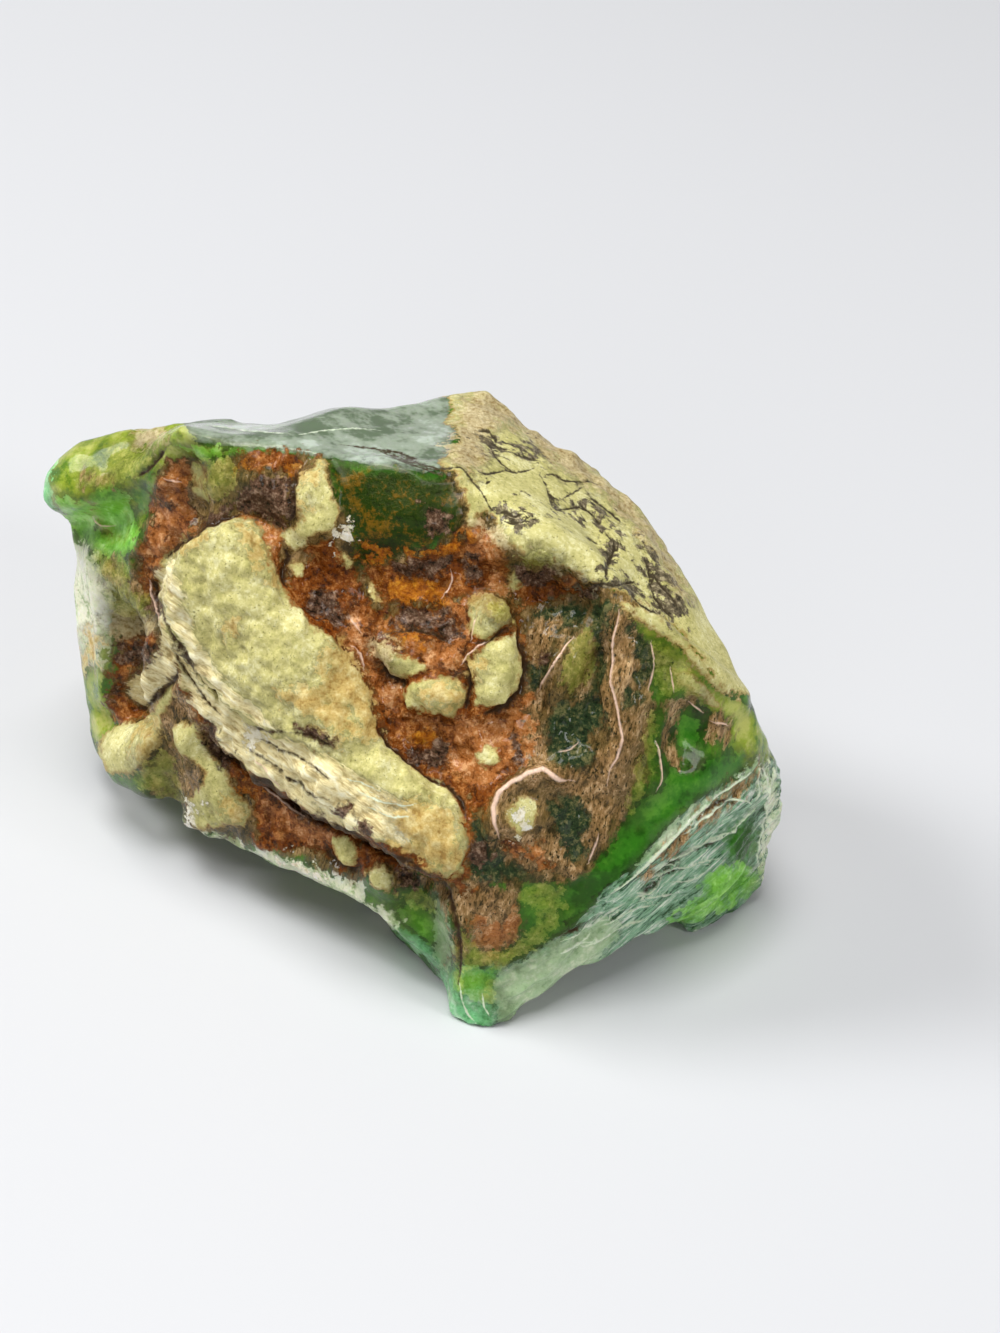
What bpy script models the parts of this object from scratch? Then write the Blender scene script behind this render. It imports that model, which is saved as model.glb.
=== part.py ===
"""Raw chrysoprase: one broken lump of green chalcedony in its rind, about 50 mm long.

The lump stands on three feet. Its wedge-shaped front comes down to a point at the front foot, a glossy
broken face slopes away behind its upper edge, and a rounded knob sticks out at the left. It is one piece,
so it is one solid. Lengths below are millimetres: +X right, +Y back, +Z up from the ground. At the end the
lump is moved sideways so that its origin is on the ground under the middle of its box.
"""

import bmesh
import bpy
import numpy as np
from mathutils import Vector, noise

NAME = "chrysoprase"
MM = 0.001

# How finely the lump is worked, how far its broken edges are rounded, and the size of the finished solid.
VOXEL = 0.5 * MM
EDGE_SMOOTHING = 0.5
EDGE_SMOOTHING_ROUNDS = 4
TRIANGLES = 9400

# The rind is rough all over, the glossy top face hardly at all, and the back and underside swell in lumps.
RIND_GRAIN = 2.4
RIND_RELIEF = 0.28
GLOSSY_RELIEF = 0.10
LUMP_GRAIN = 7.0
LUMP_RELIEF = 1.1
BACK_STARTS = 4.0
BACK_FULL = 10.0
TOP_FACE_HEIGHT = 26.5
TOP_FACE_SLOPE = 0.75

# A raised area takes the surface within this distance of its own plane.
PLATE_REACH = 4.0

GROUND_DEPTH = 4.0
GROUND_SIZE = 80.0

CHALCEDONY_GREEN = (0.16, 0.30, 0.06, 1.0)
CHALCEDONY_ROUGHNESS = 0.28
CHALCEDONY_IOR = 1.54

BODY_CORNERS = {
    # the front foot, and the low left edge that runs back from it
    "front foot": (6.0, -18.8, -1.2),
    "front foot left": (4.4, -17.6, -1.2),
    "front foot right": (7.6, -17.5, -0.8),
    "left edge foot": (4.1, -17.0, 3.4),
    "left edge near": (0.1, -13.9, 4.8),
    "left edge middle": (-3.3, -11.5, 4.9),
    "left edge far": (-9.1, -7.9, 4.7),
    "left edge end": (-15.9, -3.8, 2.9),
    # the ridge between the front and the pale fibrous face, and the low edge under that face
    "right ridge low": (11.4, -16.3, 6.2),
    "right ridge middle": (14.7, -14.7, 10.4),
    "right ridge high": (18.8, -11.7, 13.5),
    "right ridge end": (23.3, -7.0, 12.9),
    "right edge near": (9.2, -16.1, 0.9),
    "right edge middle": (15.3, -12.0, 2.0),
    "right edge far": (20.9, -7.9, 1.7),
    "right foot front": (20.4, -7.8, -1.2),
    "right foot back": (22.8, -4.8, -1.2),
    "right foot inner": (19.0, -5.0, -1.2),
    # the right end
    "right end low": (24.6, -4.6, 1.0),
    "right end middle": (25.2, -4.0, 7.0),
    "right end high": (24.7, -4.6, 11.4),
    # the front faces
    "slab top": (-12.0, -4.2, 27.0),
    "slab left": (-16.0, -2.9, 20.3),
    "slab foot": (-15.7, -4.2, 11.5),
    "slab middle": (-6.3, -9.4, 18.2),
    "slab right": (4.4, -15.8, 11.6),
    "front middle": (4.9, -9.8, 19.6),
    "front right": (12.3, -9.9, 20.3),
    # the upper edge of the front, and the shoulder at its right
    "top front left": (-14.9, -0.1, 31.9),
    "top front middle": (-5.9, -1.7, 31.6),
    "top front right": (2.3, -2.6, 31.8),
    "shoulder inner": (11.9, -5.2, 25.8),
    "shoulder middle": (14.6, -6.8, 25.1),
    "shoulder outer": (17.8, -8.4, 23.2),
    "shoulder end": (21.8, -6.4, 18.5),
    # the back edge of the top face, the peak, and the crest that falls away to the right
    "top back left": (-13.5, 2.5, 30.9),
    "top back middle": (-5.9, 7.0, 28.1),
    "peak left": (1.3, 10.9, 27.7),
    "peak": (2.9, 11.4, 28.0),
    "peak right": (6.0, 10.2, 27.3),
    "crest high": (10.7, 7.9, 25.9),
    "crest middle": (15.1, 4.7, 24.0),
    "crest low": (18.4, -0.6, 19.8),
    "crest end": (21.4, -3.5, 16.9),
    # the left end below the knob
    "left end high": (-23.0, 6.0, 18.7),
    "left end middle": (-23.1, 5.2, 12.0),
    "left end low": (-22.1, 3.3, 3.7),
    "left end front": (-20.1, 0.4, 3.1),
    # the back and the back foot
    "back left high": (-21.0, 12.0, 20.0),
    "back left low": (-19.5, 13.0, 5.0),
    "back foot left": (-17.0, 8.0, -1.2),
    "back foot right": (-10.0, 10.0, -1.2),
    "back foot end": (-13.0, 14.0, -1.2),
    "back middle high": (-5.0, 17.5, 20.5),
    "back middle low": (-4.0, 18.0, 6.0),
    "back right high": (13.0, 12.5, 18.0),
    "back right low": (14.5, 10.5, 4.5),
}

KNOB_CORNERS = {
    "tip": (-24.8, 5.5, 21.8),
    "tip upper": (-24.4, 6.2, 23.4),
    "top left": (-23.3, 6.6, 24.5),
    "top": (-21.2, 6.8, 25.9),
    "top right": (-18.7, 6.2, 27.2),
    "front": (-20.2, 2.6, 24.1),
    "root high": (-12.0, 5.0, 30.0),
    "root low": (-14.0, 4.0, 16.0),
    "root back": (-14.0, 11.0, 21.0),
    "under": (-23.2, 6.0, 18.5),
}

# What broke away from under the edges and the middle, so that the lump stands on its three feet alone.
LEFT_UNDERCUT_CORNERS = {
    "edge foot": (3.5, -17.8, 4.0),
    "edge near": (-0.4, -14.9, 5.5),
    "edge far": (-9.6, -8.9, 5.0),
    "edge end": (-16.2, -4.4, 3.4),
    "edge back": (-23.4, 3.0, 3.2),
    "outer foot": (3.6, -19.0, -3.0),
    "outer near": (-2.0, -18.0, -3.0),
    "outer end": (-24.0, -4.0, -3.0),
    "outer back": (-26.0, 6.0, -3.0),
    "inner foot": (4.9, -16.2, -1.5),
    "inner back": (-11.5, 6.8, -1.5),
    "ceiling foot": (4.2, -15.8, 0.9),
    "ceiling back": (-13.0, 6.0, 1.0),
}

RIGHT_UNDERCUT_CORNERS = {
    "edge foot": (8.2, -17.4, 0.3),
    "edge near": (11.8, -14.9, 1.9),
    "edge middle": (15.4, -12.4, 2.2),
    "edge far": (19.6, -9.3, 1.8),
    "outer foot": (8.0, -18.6, -3.0),
    "outer far": (21.0, -10.0, -3.0),
    "inner foot": (7.2, -14.6, -1.5),
    "inner far": (17.8, -5.6, -1.5),
    "ceiling foot": (8.0, -14.6, 1.0),
    "ceiling far": (17.4, -6.0, 1.2),
}

UNDERSIDE_HOLLOW_CORNERS = {
    "rim front left": (3.8, -14.8, -1.5),
    "rim front right": (8.6, -15.0, -1.5),
    "rim right": (19.0, -6.6, -1.5),
    "rim right back": (26.0, 2.0, -1.5),
    "rim back right": (15.0, 16.0, -1.5),
    "rim back": (0.0, 22.0, -1.5),
    "rim back left": (-8.0, 15.0, -1.5),
    "rim left back": (-9.6, 8.0, -1.5),
    "rim left": (-12.5, 3.0, -1.5),
    "ceiling front": (5.0, -10.0, 1.4),
    "ceiling right": (15.0, -5.0, 2.0),
    "ceiling back right": (14.0, 8.0, 3.2),
    "ceiling back": (1.0, 14.0, 3.0),
    "ceiling left": (-7.0, 4.0, 2.6),
}

# Raised or sunk areas of the surface: height, width of the edge, and outline.
PLATES = {
    "cream slab": (1.3, 0.9, (
        (-15.8, -2.9, 21), (-14.9, -2.7, 24), (-12.7, -3.6, 27), (-10, -3.9, 27.7), (-8.7, -5.1, 26.2),
        (-7, -6.7, 23.9), (-3.3, -8.1, 22.3), (-1.6, -9.8, 20), (-0.9, -11.5, 17.4), (2.3, -13, 15.6),
        (4.6, -14.5, 13.6), (4.8, -15.6, 11.9), (3.5, -15.7, 10), (-3, -11.9, 12.7), (-6.6, -9.5, 14.9),
        (-9.6, -7.6, 15.3), (-12.9, -5.3, 17.2))),
    "fibrous band": (0.8, 0.7, (
        (-15.7, -3.1, 20.2), (-12.9, -5.3, 17.2), (-9.6, -7.6, 15.3), (-6.6, -9.4, 15.9),
        (-3.2, -11.4, 15.6), (0.5, -13.6, 13.3), (3.2, -15.4, 10.6), (-1.8, -12.9, 10.3),
        (-4.6, -11.2, 10.2), (-8.8, -8.6, 10.8), (-12.5, -6.1, 12.1), (-14.5, -4.7, 13.9))),
    "right cream block": (1.1, 0.6, (
        (4, -8.3, 23.1), (5.3, -7.9, 23.7), (6.9, -7.9, 23.7), (7.4, -9, 22.1), (7.2, -10.2, 20.3),
        (6.2, -10.6, 19.6), (5, -10.4, 19.8), (4.6, -9.9, 20.6))),
    "upper cream block": (0.9, 0.6, (
        (4.2, -6.9, 25.2), (5.7, -6.7, 25.6), (6.5, -7.3, 24.7), (5.8, -8, 23.5), (4.6, -8.2, 23.2))),
    "lower cream block": (0.9, 0.6, (
        (0.2, -9.7, 20.6), (1.5, -9.5, 21), (3.4, -9.8, 20.9), (3.7, -10.4, 19.9), (2.5, -10.7, 19.2),
        (0.7, -10.6, 19))),
    "left cream block": (0.7, 0.6, (
        (-1.9, -8.1, 22.5), (-0.5, -8.5, 22.2), (0.8, -8.9, 21.8), (0.7, -9.5, 20.8), (-1.2, -9.2, 20.8))),
    "cream block by the crust": (0.9, 0.7, (
        (-7.1, -2.2, 30.7), (-5.9, -2, 31.2), (-4.5, -2.7, 30.4), (-3.9, -4.1, 28.5), (-5.2, -4.9, 27),
        (-6.8, -4.9, 26.7), (-7.3, -3.6, 28.6))),
    "left lump": (1.2, 0.9, (
        (-20.6, 0.4, 5.8), (-19, -0.8, 8.4), (-17, -2.9, 10.4), (-16, -3.9, 9.8), (-15.5, -4.2, 7.5),
        (-15.3, -4.3, 5), (-16.8, -3, 4.2), (-19.4, -0.9, 3.6))),
    "lower left patch": (0.8, 0.7, (
        (-14.5, -4.9, 11.8), (-12.9, -5.8, 13.1), (-12.1, -6.5, 10.6), (-10.7, -7.5, 9.1),
        (-9.5, -8.4, 7.8), (-10.5, -7.6, 5.9), (-12.7, -6, 3.4), (-14.3, -5, 4.4), (-13.4, -5.7, 8.1))),
}

# Ridges (height above 0) and hollows (below 0) along a path: height, radius, and points on the surface.
STROKES = {
    # between the knob, the left end and the cream slab
    "trough behind the slab": (-1.7, 2.0, ((-14.6, -1.5, 29), (-15.8, -1.9, 24.4), (-16.6, -2.2, 20.5))),
    "pit beside the slab": (-2.6, 2.3, ((-18.6, -0.6, 15), (-18.4, -1, 12.6), (-18.4, -1.2, 10.4))),
    "rim of the left end": (0.9, 1.3, ((-21.4, 3.5, 19.3), (-20.4, 2, 16.8), (-19.9, 1, 12), (-20.2, 0.9, 8.6))),
    "rib down from the slab": (1.2, 1.1, ((-15.7, -3.2, 19.6), (-16, -3.5, 16.6), (-16.9, -2.8, 12.8))),
    "groove under the knob": (-0.9, 1.4, ((-22.8, 5, 19.6), (-19.7, 2.4, 22.2), (-17.6, 0.6, 25))),
    "knob lobe": (0.7, 2.4, ((-22.2, 4.6, 24), (-19.2, 4.4, 26))),
    "notch under the left end": (-0.9, 1.2, ((-20.6, 1.4, 6.6), (-19.4, 0, 8.8))),
    # under and around the slab
    "crack above the slab": (-0.9, 0.9, ((-14.6, -2.3, 26.4), (-12.6, -3.1, 28.2), (-10, -3.4, 28.7),
                                         (-8.2, -4.4, 27.6))),
    "groove under the slab": (-0.9, 0.8, ((-15.2, -3.6, 19.2), (-12.9, -5.3, 17.4), (-9.6, -7.6, 15.4),
                                         (-6.8, -9.3, 15.4), (-5, -10.4, 15.6))),
    "crack under the band": (-1.3, 1.0, ((-12.4, -6.2, 11.8), (-8.8, -8.6, 10.2), (-4.6, -11.2, 9.6),
                                        (-1, -13.4, 9.7), (2.6, -15.5, 9.2))),
    "hollow above the left edge": (-0.8, 1.6, ((-8.4, -8.9, 8.6), (-5, -11.2, 8.2))),
    "pebble": (0.6, 1.0, ((-2.9, -12.4, 8.6), (-2.8, -12.5, 8.4))),
    "cream bit": (0.6, 1.0, ((-0.8, -13.9, 8), (-0.2, -14.1, 7.8))),
    "left edge rim": (0.3, 0.9, ((-13, -5.7, 4.2), (-9.1, -8.5, 5.8), (-5.3, -11, 6.2), (-1.9, -13.2, 6),
                                 (1.5, -15.3, 5.2))),
    # the rust hollow between the slab and the cream blocks
    "rust hollow": (-1.2, 2.2, ((-6, -6, 25.4), (-3.6, -7.8, 22.8), (-0.6, -10.6, 18.6), (3, -12.5, 16.8))),
    "hollow below the dome": (-1.1, 1.8, ((-2.4, -6.4, 26), (1.2, -6.4, 25.6), (3.4, -6.2, 26.2))),
    "hollow under the lip": (-1.4, 1.5, ((7.6, -6.8, 25.6), (10.4, -6.9, 25.4))),
    "groove right of the blocks": (-0.8, 1.0, ((7.9, -7.8, 24), (8.1, -10.4, 20.2), (5.8, -11.4, 18.6))),
    "green dome": (0.7, 2.6, ((-2.6, -3.5, 29.6), (0.5, -4.4, 28.7))),
    "crust": (0.6, 1.4, ((-9.3, -2.9, 29.4), (-8.1, -3.4, 28.8))),
    "dark arc": (-0.6, 0.7, ((-0.8, -7.6, 23.6), (1.2, -7.3, 24.3), (2.9, -7.9, 23.7))),
    # the cream face at the upper right
    "cream lip": (0.9, 1.1, ((5.6, -5, 28), (7.9, -5.1, 28), (10.2, -5.6, 27.2), (11.8, -6, 26.6))),
    "cream hump": (0.6, 2.2, ((7.8, -3.6, 28.6), (10.4, -4, 27.4))),
    "upper crack": (-0.5, 0.7, ((0.9, -2.5, 31.7), (3, -2.5, 31.4), (4.5, -3.5, 30.5), (5.1, -4, 29.6))),
    "lower crack": (-0.5, 0.8, ((11.2, -1.4, 26.8), (12.2, -3.4, 26.4), (12, -5, 26.3))),
    "crest hollow": (-0.9, 1.8, ((14.9, -3.8, 25), (16.8, -5.8, 23.4))),
    "peak": (0.6, 2.0, ((1.8, 10.6, 28.4), (3.2, 11.2, 28.4))),
    # the ribs and hollows of the dark front at the right
    "long rib": (0.9, 0.9, ((13, -7.2, 25), (13.4, -10, 20.8), (13.4, -12.2, 16.6))),
    "short rib": (0.6, 0.8, ((11.4, -7.8, 24), (9.4, -9.8, 20.9))),
    "hollow between the ribs": (-0.8, 1.3, ((11.9, -8.8, 22.4), (11.2, -11.2, 18.6))),
    "curled rib": (0.9, 0.9, ((9.8, -12.6, 16.6), (7.9, -12.7, 16.5), (6.6, -13.4, 15.4), (6.1, -14.6, 13.5))),
    "cream knob": (0.8, 1.4, ((7.6, -14, 14.4), (8, -14, 14.4))),
    "shoulder rim": (0.6, 1.1, ((11.9, -6.3, 26.3), (14.6, -7, 25.1), (17, -7.6, 23.6), (19, -8, 21.5),
                                (21.2, -7, 19))),
    "shoulder hollow": (-0.9, 1.8, ((17.8, -10, 19.3), (18, -10.3, 18.4))),
    "thin rib": (0.4, 0.7, ((15.8, -11, 18.4), (15.4, -12.3, 15.6))),
    # the front foot, and the pale face at the lower right
    "front edge": (0.7, 1.0, ((2.6, -15.8, 9.6), (3.9, -16.3, 8), (4.7, -17, 5.2), (4.9, -17.6, 2.6))),
    "facet beside the front edge": (-0.8, 1.5, ((1.6, -15.4, 7.2), (2.9, -16.2, 5.4), (3.8, -17, 3))),
    "foot groove": (-0.3, 0.7, ((5.9, -17.4, 5), (6.1, -18.1, 1.6))),
    "right bump": (0.7, 1.8, ((21.3, -8.2, 5.5), (19.9, -9.2, 4.8))),
    "upper fibre ridge": (0.4, 0.7, ((13.6, -15, 8.6), (18.4, -12, 12), (22.6, -8.2, 12.4))),
    "lower fibre groove": (-0.5, 0.9, ((12.4, -15.2, 5.8), (17.6, -12, 8.4), (22, -8.4, 10.2))),
    # the glossy top face
    "top dip": (-0.7, 2.6, ((-11.4, 2.2, 31), (-9.2, 5, 30))),
    "top ledge": (0.5, 1.4, ((-6.4, 3.4, 30.4), (-2, 7.6, 29.2), (0.8, 9, 28.6))),
    "top scallop": (-0.5, 1.8, ((-4.6, -0.2, 31.6), (0.4, 0.2, 31.4))),
    # the back, which broke along shell-shaped scars
    "back scar right": (-2.0, 7.5, ((5, 16.5, 14), (6, 16, 12))),
    "back scar left": (-1.6, 5.5, ((-14, 15.5, 18), (-13.4, 15.8, 16))),
    "back rib": (1.3, 2.4, ((-5.4, 16, 26), (-7, 18, 18), (-8.4, 17.6, 7))),
    "back step": (-1.0, 1.6, ((12.4, 12.4, 20), (12, 14, 12), (13.4, 12, 6))),
    "back lobe": (1.2, 3.6, ((-12.4, 16.4, 8.4), (-14, 15.6, 6))),
}


def hull(name, corners):
    """A closed convex lump through named corners."""
    bm = bmesh.new()
    for corner in corners.values():
        bm.verts.new(Vector(corner) * MM)
    found = bmesh.ops.convex_hull(bm, input=bm.verts)
    inside = [item for item in found["geom_interior"] if isinstance(item, bmesh.types.BMVert)]
    bmesh.ops.delete(bm, geom=inside, context="VERTS")
    mesh = bpy.data.meshes.new(name)
    bm.to_mesh(mesh)
    bm.free()
    return bpy.data.objects.new(name, mesh)


def ground():
    """A slab of ground under the lump, whose top is where the feet are flat."""
    bm = bmesh.new()
    bmesh.ops.create_cube(bm, size=GROUND_SIZE * MM)
    bmesh.ops.scale(bm, verts=bm.verts, vec=(1, 1, GROUND_DEPTH / GROUND_SIZE))
    bmesh.ops.translate(bm, verts=bm.verts, vec=(0, 0, -GROUND_DEPTH / 2 * MM))
    mesh = bpy.data.meshes.new("ground")
    bm.to_mesh(mesh)
    bm.free()
    return bpy.data.objects.new("ground", mesh)


def add_boolean(body, tool, operation):
    """Joins a shape to the body or cuts it away, and keeps that shape as a hidden tool."""
    collection("cutters").objects.link(tool)
    tool.hide_render = True
    tool.display_type = "WIRE"
    modifier = body.modifiers.new(tool.name, "BOOLEAN")
    modifier.operation = operation
    modifier.solver = "EXACT"
    modifier.object = tool


def collection(name):
    """The named collection, made when it is first asked for."""
    found = bpy.data.collections.get(name)
    if found is None:
        found = bpy.data.collections.new(name)
        bpy.context.scene.collection.children.link(found)
    return found


def apply_modifiers(body):
    """Turns what the body's modifiers make into its own mesh."""
    evaluated = body.evaluated_get(bpy.context.evaluated_depsgraph_get())
    mesh = bpy.data.meshes.new_from_object(evaluated)
    body.modifiers.clear()
    body.data = mesh


def rough_body():
    """The lump's main faces, before anything is rounded."""
    body = hull(NAME, BODY_CORNERS)
    collection(NAME + " parts").objects.link(body)
    add_boolean(body, hull("knob", KNOB_CORNERS), "UNION")
    add_boolean(body, hull("left undercut", LEFT_UNDERCUT_CORNERS), "DIFFERENCE")
    add_boolean(body, hull("right undercut", RIGHT_UNDERCUT_CORNERS), "DIFFERENCE")
    add_boolean(body, hull("underside hollow", UNDERSIDE_HOLLOW_CORNERS), "DIFFERENCE")
    return body


def round_edges(body):
    """Gives the body an even skin to work on, with its broken edges slightly rounded."""
    remesh = body.modifiers.new("even skin", "REMESH")
    remesh.mode = "VOXEL"
    remesh.voxel_size = VOXEL
    smooth = body.modifiers.new("rounded edges", "SMOOTH")
    smooth.factor = EDGE_SMOOTHING
    smooth.iterations = EDGE_SMOOTHING_ROUNDS
    apply_modifiers(body)


def smooth_step(value, low, high):
    """0 below low, 1 above high, and an even rise between."""
    share = np.clip((value - low) / (high - low), 0.0, 1.0)
    return share * share * (3.0 - 2.0 * share)


def distance_from_path(points, path):
    """How far each point is from a path of straight runs."""
    nearest = np.full(len(points), np.inf)
    for start, end in zip(path, path[1:]):
        run = end - start
        share = np.clip((points - start) @ run / (run @ run), 0.0, 1.0)
        nearest = np.minimum(nearest, np.linalg.norm(points - start - share[:, None] * run, axis=1))
    return nearest


def stroke_lift(points, stroke):
    """How far a ridge or hollow lifts each point."""
    height, radius, path = stroke
    distance = distance_from_path(points, np.array(path, dtype=float))
    return height * (1.0 - smooth_step(distance, 0.0, 1.6 * radius))


def plate_frame(outline):
    """The centre, the two directions along and the direction out of an outline's best plane."""
    centre = outline.mean(axis=0)
    across, along, out = np.linalg.svd(outline - centre)[2]
    return centre, across, along, out


def inside_outline(flat, corners):
    """Which flat points are inside a closed outline."""
    inside = np.zeros(len(flat), dtype=bool)
    for start, end in zip(corners, np.roll(corners, -1, axis=0)):
        if start[1] == end[1]:
            continue
        crosses = (flat[:, 1] < start[1]) != (flat[:, 1] < end[1])
        at = start[0] + (flat[:, 1] - start[1]) / (end[1] - start[1]) * (end[0] - start[0])
        inside ^= crosses & (flat[:, 0] < at)
    return inside


def plate_lift(points, normals, plate):
    """How far a raised or sunk area lifts each point: its full height inside, none outside."""
    height, edge, outline = plate
    outline = np.array(outline, dtype=float)
    centre, across, along, out = plate_frame(outline)
    basis = np.array([across, along]).T
    flat, corners = (points - centre) @ basis, (outline - centre) @ basis
    margin = distance_from_path(flat, np.vstack([corners, corners[:1]]))
    margin = np.where(inside_outline(flat, corners), margin, -margin)
    facing = smooth_step(np.abs(normals @ out), 0.3, 0.6)
    near = 1.0 - smooth_step(np.abs((points - centre) @ out), PLATE_REACH - 1.0, PLATE_REACH)
    return height * smooth_step(margin, -0.3 * edge, 0.7 * edge) * facing * near


def rough_lift(points, normals):
    """The rind's roughness, and the larger lumps of the back and the underside."""
    rind = np.array([noise.fractal(Vector(p) / RIND_GRAIN, 1.0, 2.0, 3) for p in points])
    lumps = np.array([noise.fractal(Vector(p) / LUMP_GRAIN, 0.9, 2.0, 3) for p in points])
    glossy = (points[:, 2] > TOP_FACE_HEIGHT) & (normals[:, 2] > TOP_FACE_SLOPE)
    hidden = np.maximum(smooth_step(points[:, 1], BACK_STARTS, BACK_FULL), smooth_step(-normals[:, 2], 0.3, 0.8))
    return rind * np.where(glossy, GLOSSY_RELIEF, RIND_RELIEF) + lumps * LUMP_RELIEF * hidden


def vertex_array(collection_of_vectors, field):
    """The vectors of a mesh's vertices or normals, one row each."""
    values = np.empty(len(collection_of_vectors) * 3)
    collection_of_vectors.foreach_get(field, values)
    return values.reshape(-1, 3)


def sculpt(body):
    """Raises and sinks the skin along its normals into plates, ridges, hollows and roughness."""
    mesh = body.data
    points = vertex_array(mesh.vertices, "co") / MM
    normals = vertex_array(mesh.vertex_normals, "vector")
    lift = rough_lift(points, normals)
    for plate in PLATES.values():
        lift += plate_lift(points, normals, plate)
    for stroke in STROKES.values():
        lift += stroke_lift(points, stroke)
    mesh.vertices.foreach_set("co", ((points + normals * lift[:, None]) * MM).ravel())
    mesh.update()


def cut_facets(body):
    """Brings the skin down to the facets of the finished solid, and cuts the feet flat on the ground."""
    decimate = body.modifiers.new("facets", "DECIMATE")
    decimate.ratio = TRIANGLES / sum(len(face.vertices) - 2 for face in body.data.polygons)
    decimate.use_collapse_triangulate = True
    add_boolean(body, ground(), "DIFFERENCE")
    apply_modifiers(body)


def stand_on_origin(body):
    """Moves the lump sideways so that the origin is under the middle of its box."""
    points = vertex_array(body.data.vertices, "co")
    middle = (points.min(axis=0) + points.max(axis=0)) / 2
    points -= (middle[0], middle[1], 0.0)
    body.data.vertices.foreach_set("co", points.ravel())
    body.data.update()


def stone_material():
    """The glossy green of the chalcedony."""
    material = bpy.data.materials.new(NAME)
    material.use_nodes = True
    shader = material.node_tree.nodes["Principled BSDF"]
    shader.inputs["Base Color"].default_value = CHALCEDONY_GREEN
    shader.inputs["Roughness"].default_value = CHALCEDONY_ROUGHNESS
    shader.inputs["IOR"].default_value = CHALCEDONY_IOR
    return material


def main():
    """Builds the lump from its main faces down to its facets."""
    for old in list(bpy.data.objects):
        bpy.data.objects.remove(old)
    body = rough_body()
    round_edges(body)
    sculpt(body)
    cut_facets(body)
    stand_on_origin(body)
    body.data.materials.clear()
    body.data.materials.append(stone_material())
    body.data.shade_flat()


main()
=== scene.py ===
"""Looks of a raw chrysoprase lump, on a plain pale floor in soft studio light.

The stone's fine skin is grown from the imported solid. It is rounded, given the relief of its rind, cracks,
ribs and fibres, and carries one attribute for each finish, which the material turns into colour and gloss.
Lengths are millimetres unless a name says otherwise. Picture positions are pixels of the 1000 x 1333 frame.
"""

import logging
import math
from dataclasses import dataclass, field
from enum import Enum
from typing import NamedTuple

import bmesh
import bpy
import numpy as np
from mathutils import Matrix, Vector, kdtree, noise
from mathutils.bvhtree import BVHTree


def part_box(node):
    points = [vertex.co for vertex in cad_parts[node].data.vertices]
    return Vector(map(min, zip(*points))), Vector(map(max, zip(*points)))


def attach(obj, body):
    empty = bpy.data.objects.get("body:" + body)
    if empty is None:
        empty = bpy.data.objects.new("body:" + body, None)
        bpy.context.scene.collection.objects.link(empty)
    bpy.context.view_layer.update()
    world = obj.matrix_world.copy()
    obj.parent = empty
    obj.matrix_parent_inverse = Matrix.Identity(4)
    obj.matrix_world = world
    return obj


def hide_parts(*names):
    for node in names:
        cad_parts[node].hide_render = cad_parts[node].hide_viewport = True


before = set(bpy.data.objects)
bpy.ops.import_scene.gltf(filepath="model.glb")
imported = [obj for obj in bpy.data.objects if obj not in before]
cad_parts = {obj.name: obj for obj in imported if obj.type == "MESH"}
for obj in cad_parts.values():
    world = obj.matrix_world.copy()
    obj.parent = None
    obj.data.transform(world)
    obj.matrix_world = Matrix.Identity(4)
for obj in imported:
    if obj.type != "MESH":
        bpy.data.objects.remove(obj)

LOG = logging.getLogger("chrysoprase")
MM = 0.001
NODE = "chrysoprase"

OCTAVES, FALLOFF, LACUNARITY = 3, 1.0, 2.0
DRIFT_WAY = (1.0, 1.7, -0.6)
SHORTEST_RUN = 1e-9

Pixel = tuple[float, float]
Outline = tuple[Pixel, ...]
Colour = tuple[float, float, float]
Socket = bpy.types.NodeSocket


def smooth_step(value: np.ndarray, low: float, high: float) -> np.ndarray:
    """Rises evenly from 0 to 1 between two values.

    Args:
        value: The values to read.
        low: Where the rise starts.
        high: Where the rise ends.

    Returns:
        The share of the rise at each value.
    """
    share = np.clip((value - low) / (high - low), 0.0, 1.0)
    return share * share * (3.0 - 2.0 * share)


def fractal(points: np.ndarray, grain: float, drift: float) -> np.ndarray:
    """Reads fractal noise at points in the stone.

    Args:
        points: One row of millimetres for each point.
        grain: The size of the largest lumps, in millimetres.
        drift: Moves the pattern, so that two readings differ.

    Returns:
        A value of about -1 to 1 for each point.
    """
    shift = Vector([step * drift for step in DRIFT_WAY])
    return np.array([
        noise.fractal(Vector(point) / grain + shift, FALLOFF, LACUNARITY, OCTAVES) for point in points])


def path_distance(places: np.ndarray, path: np.ndarray) -> tuple[np.ndarray, np.ndarray, np.ndarray]:
    """Measures how far flat places are from a path of straight runs.

    Args:
        places: One row of two numbers for each place.
        path: The path's points, one row each.

    Returns:
        The distance of each place from the nearest run, how far along the path that is, from 0 to 1, and
        which side of the run the place is on, as 1 or -1.
    """
    nearest = np.full(len(places), np.inf)
    along = np.zeros(len(places))
    side = np.ones(len(places))
    lengths = np.linalg.norm(np.diff(path, axis=0), axis=1)
    covered = 0.0
    for start, end, length in zip(path, path[1:], lengths):
        run = end - start
        share = np.clip((places - start) @ run / max(length * length, SHORTEST_RUN), 0.0, 1.0)
        gap = np.linalg.norm(places - start - share[:, None] * run, axis=1)
        closer = gap < nearest
        nearest = np.where(closer, gap, nearest)
        along = np.where(closer, (covered + share * length) / lengths.sum(), along)
        turn = run[0] * (places[:, 1] - start[1]) - run[1] * (places[:, 0] - start[0])
        side = np.where(closer, np.where(turn < 0.0, -1.0, 1.0), side)
        covered += length
    return nearest, along, side


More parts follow.
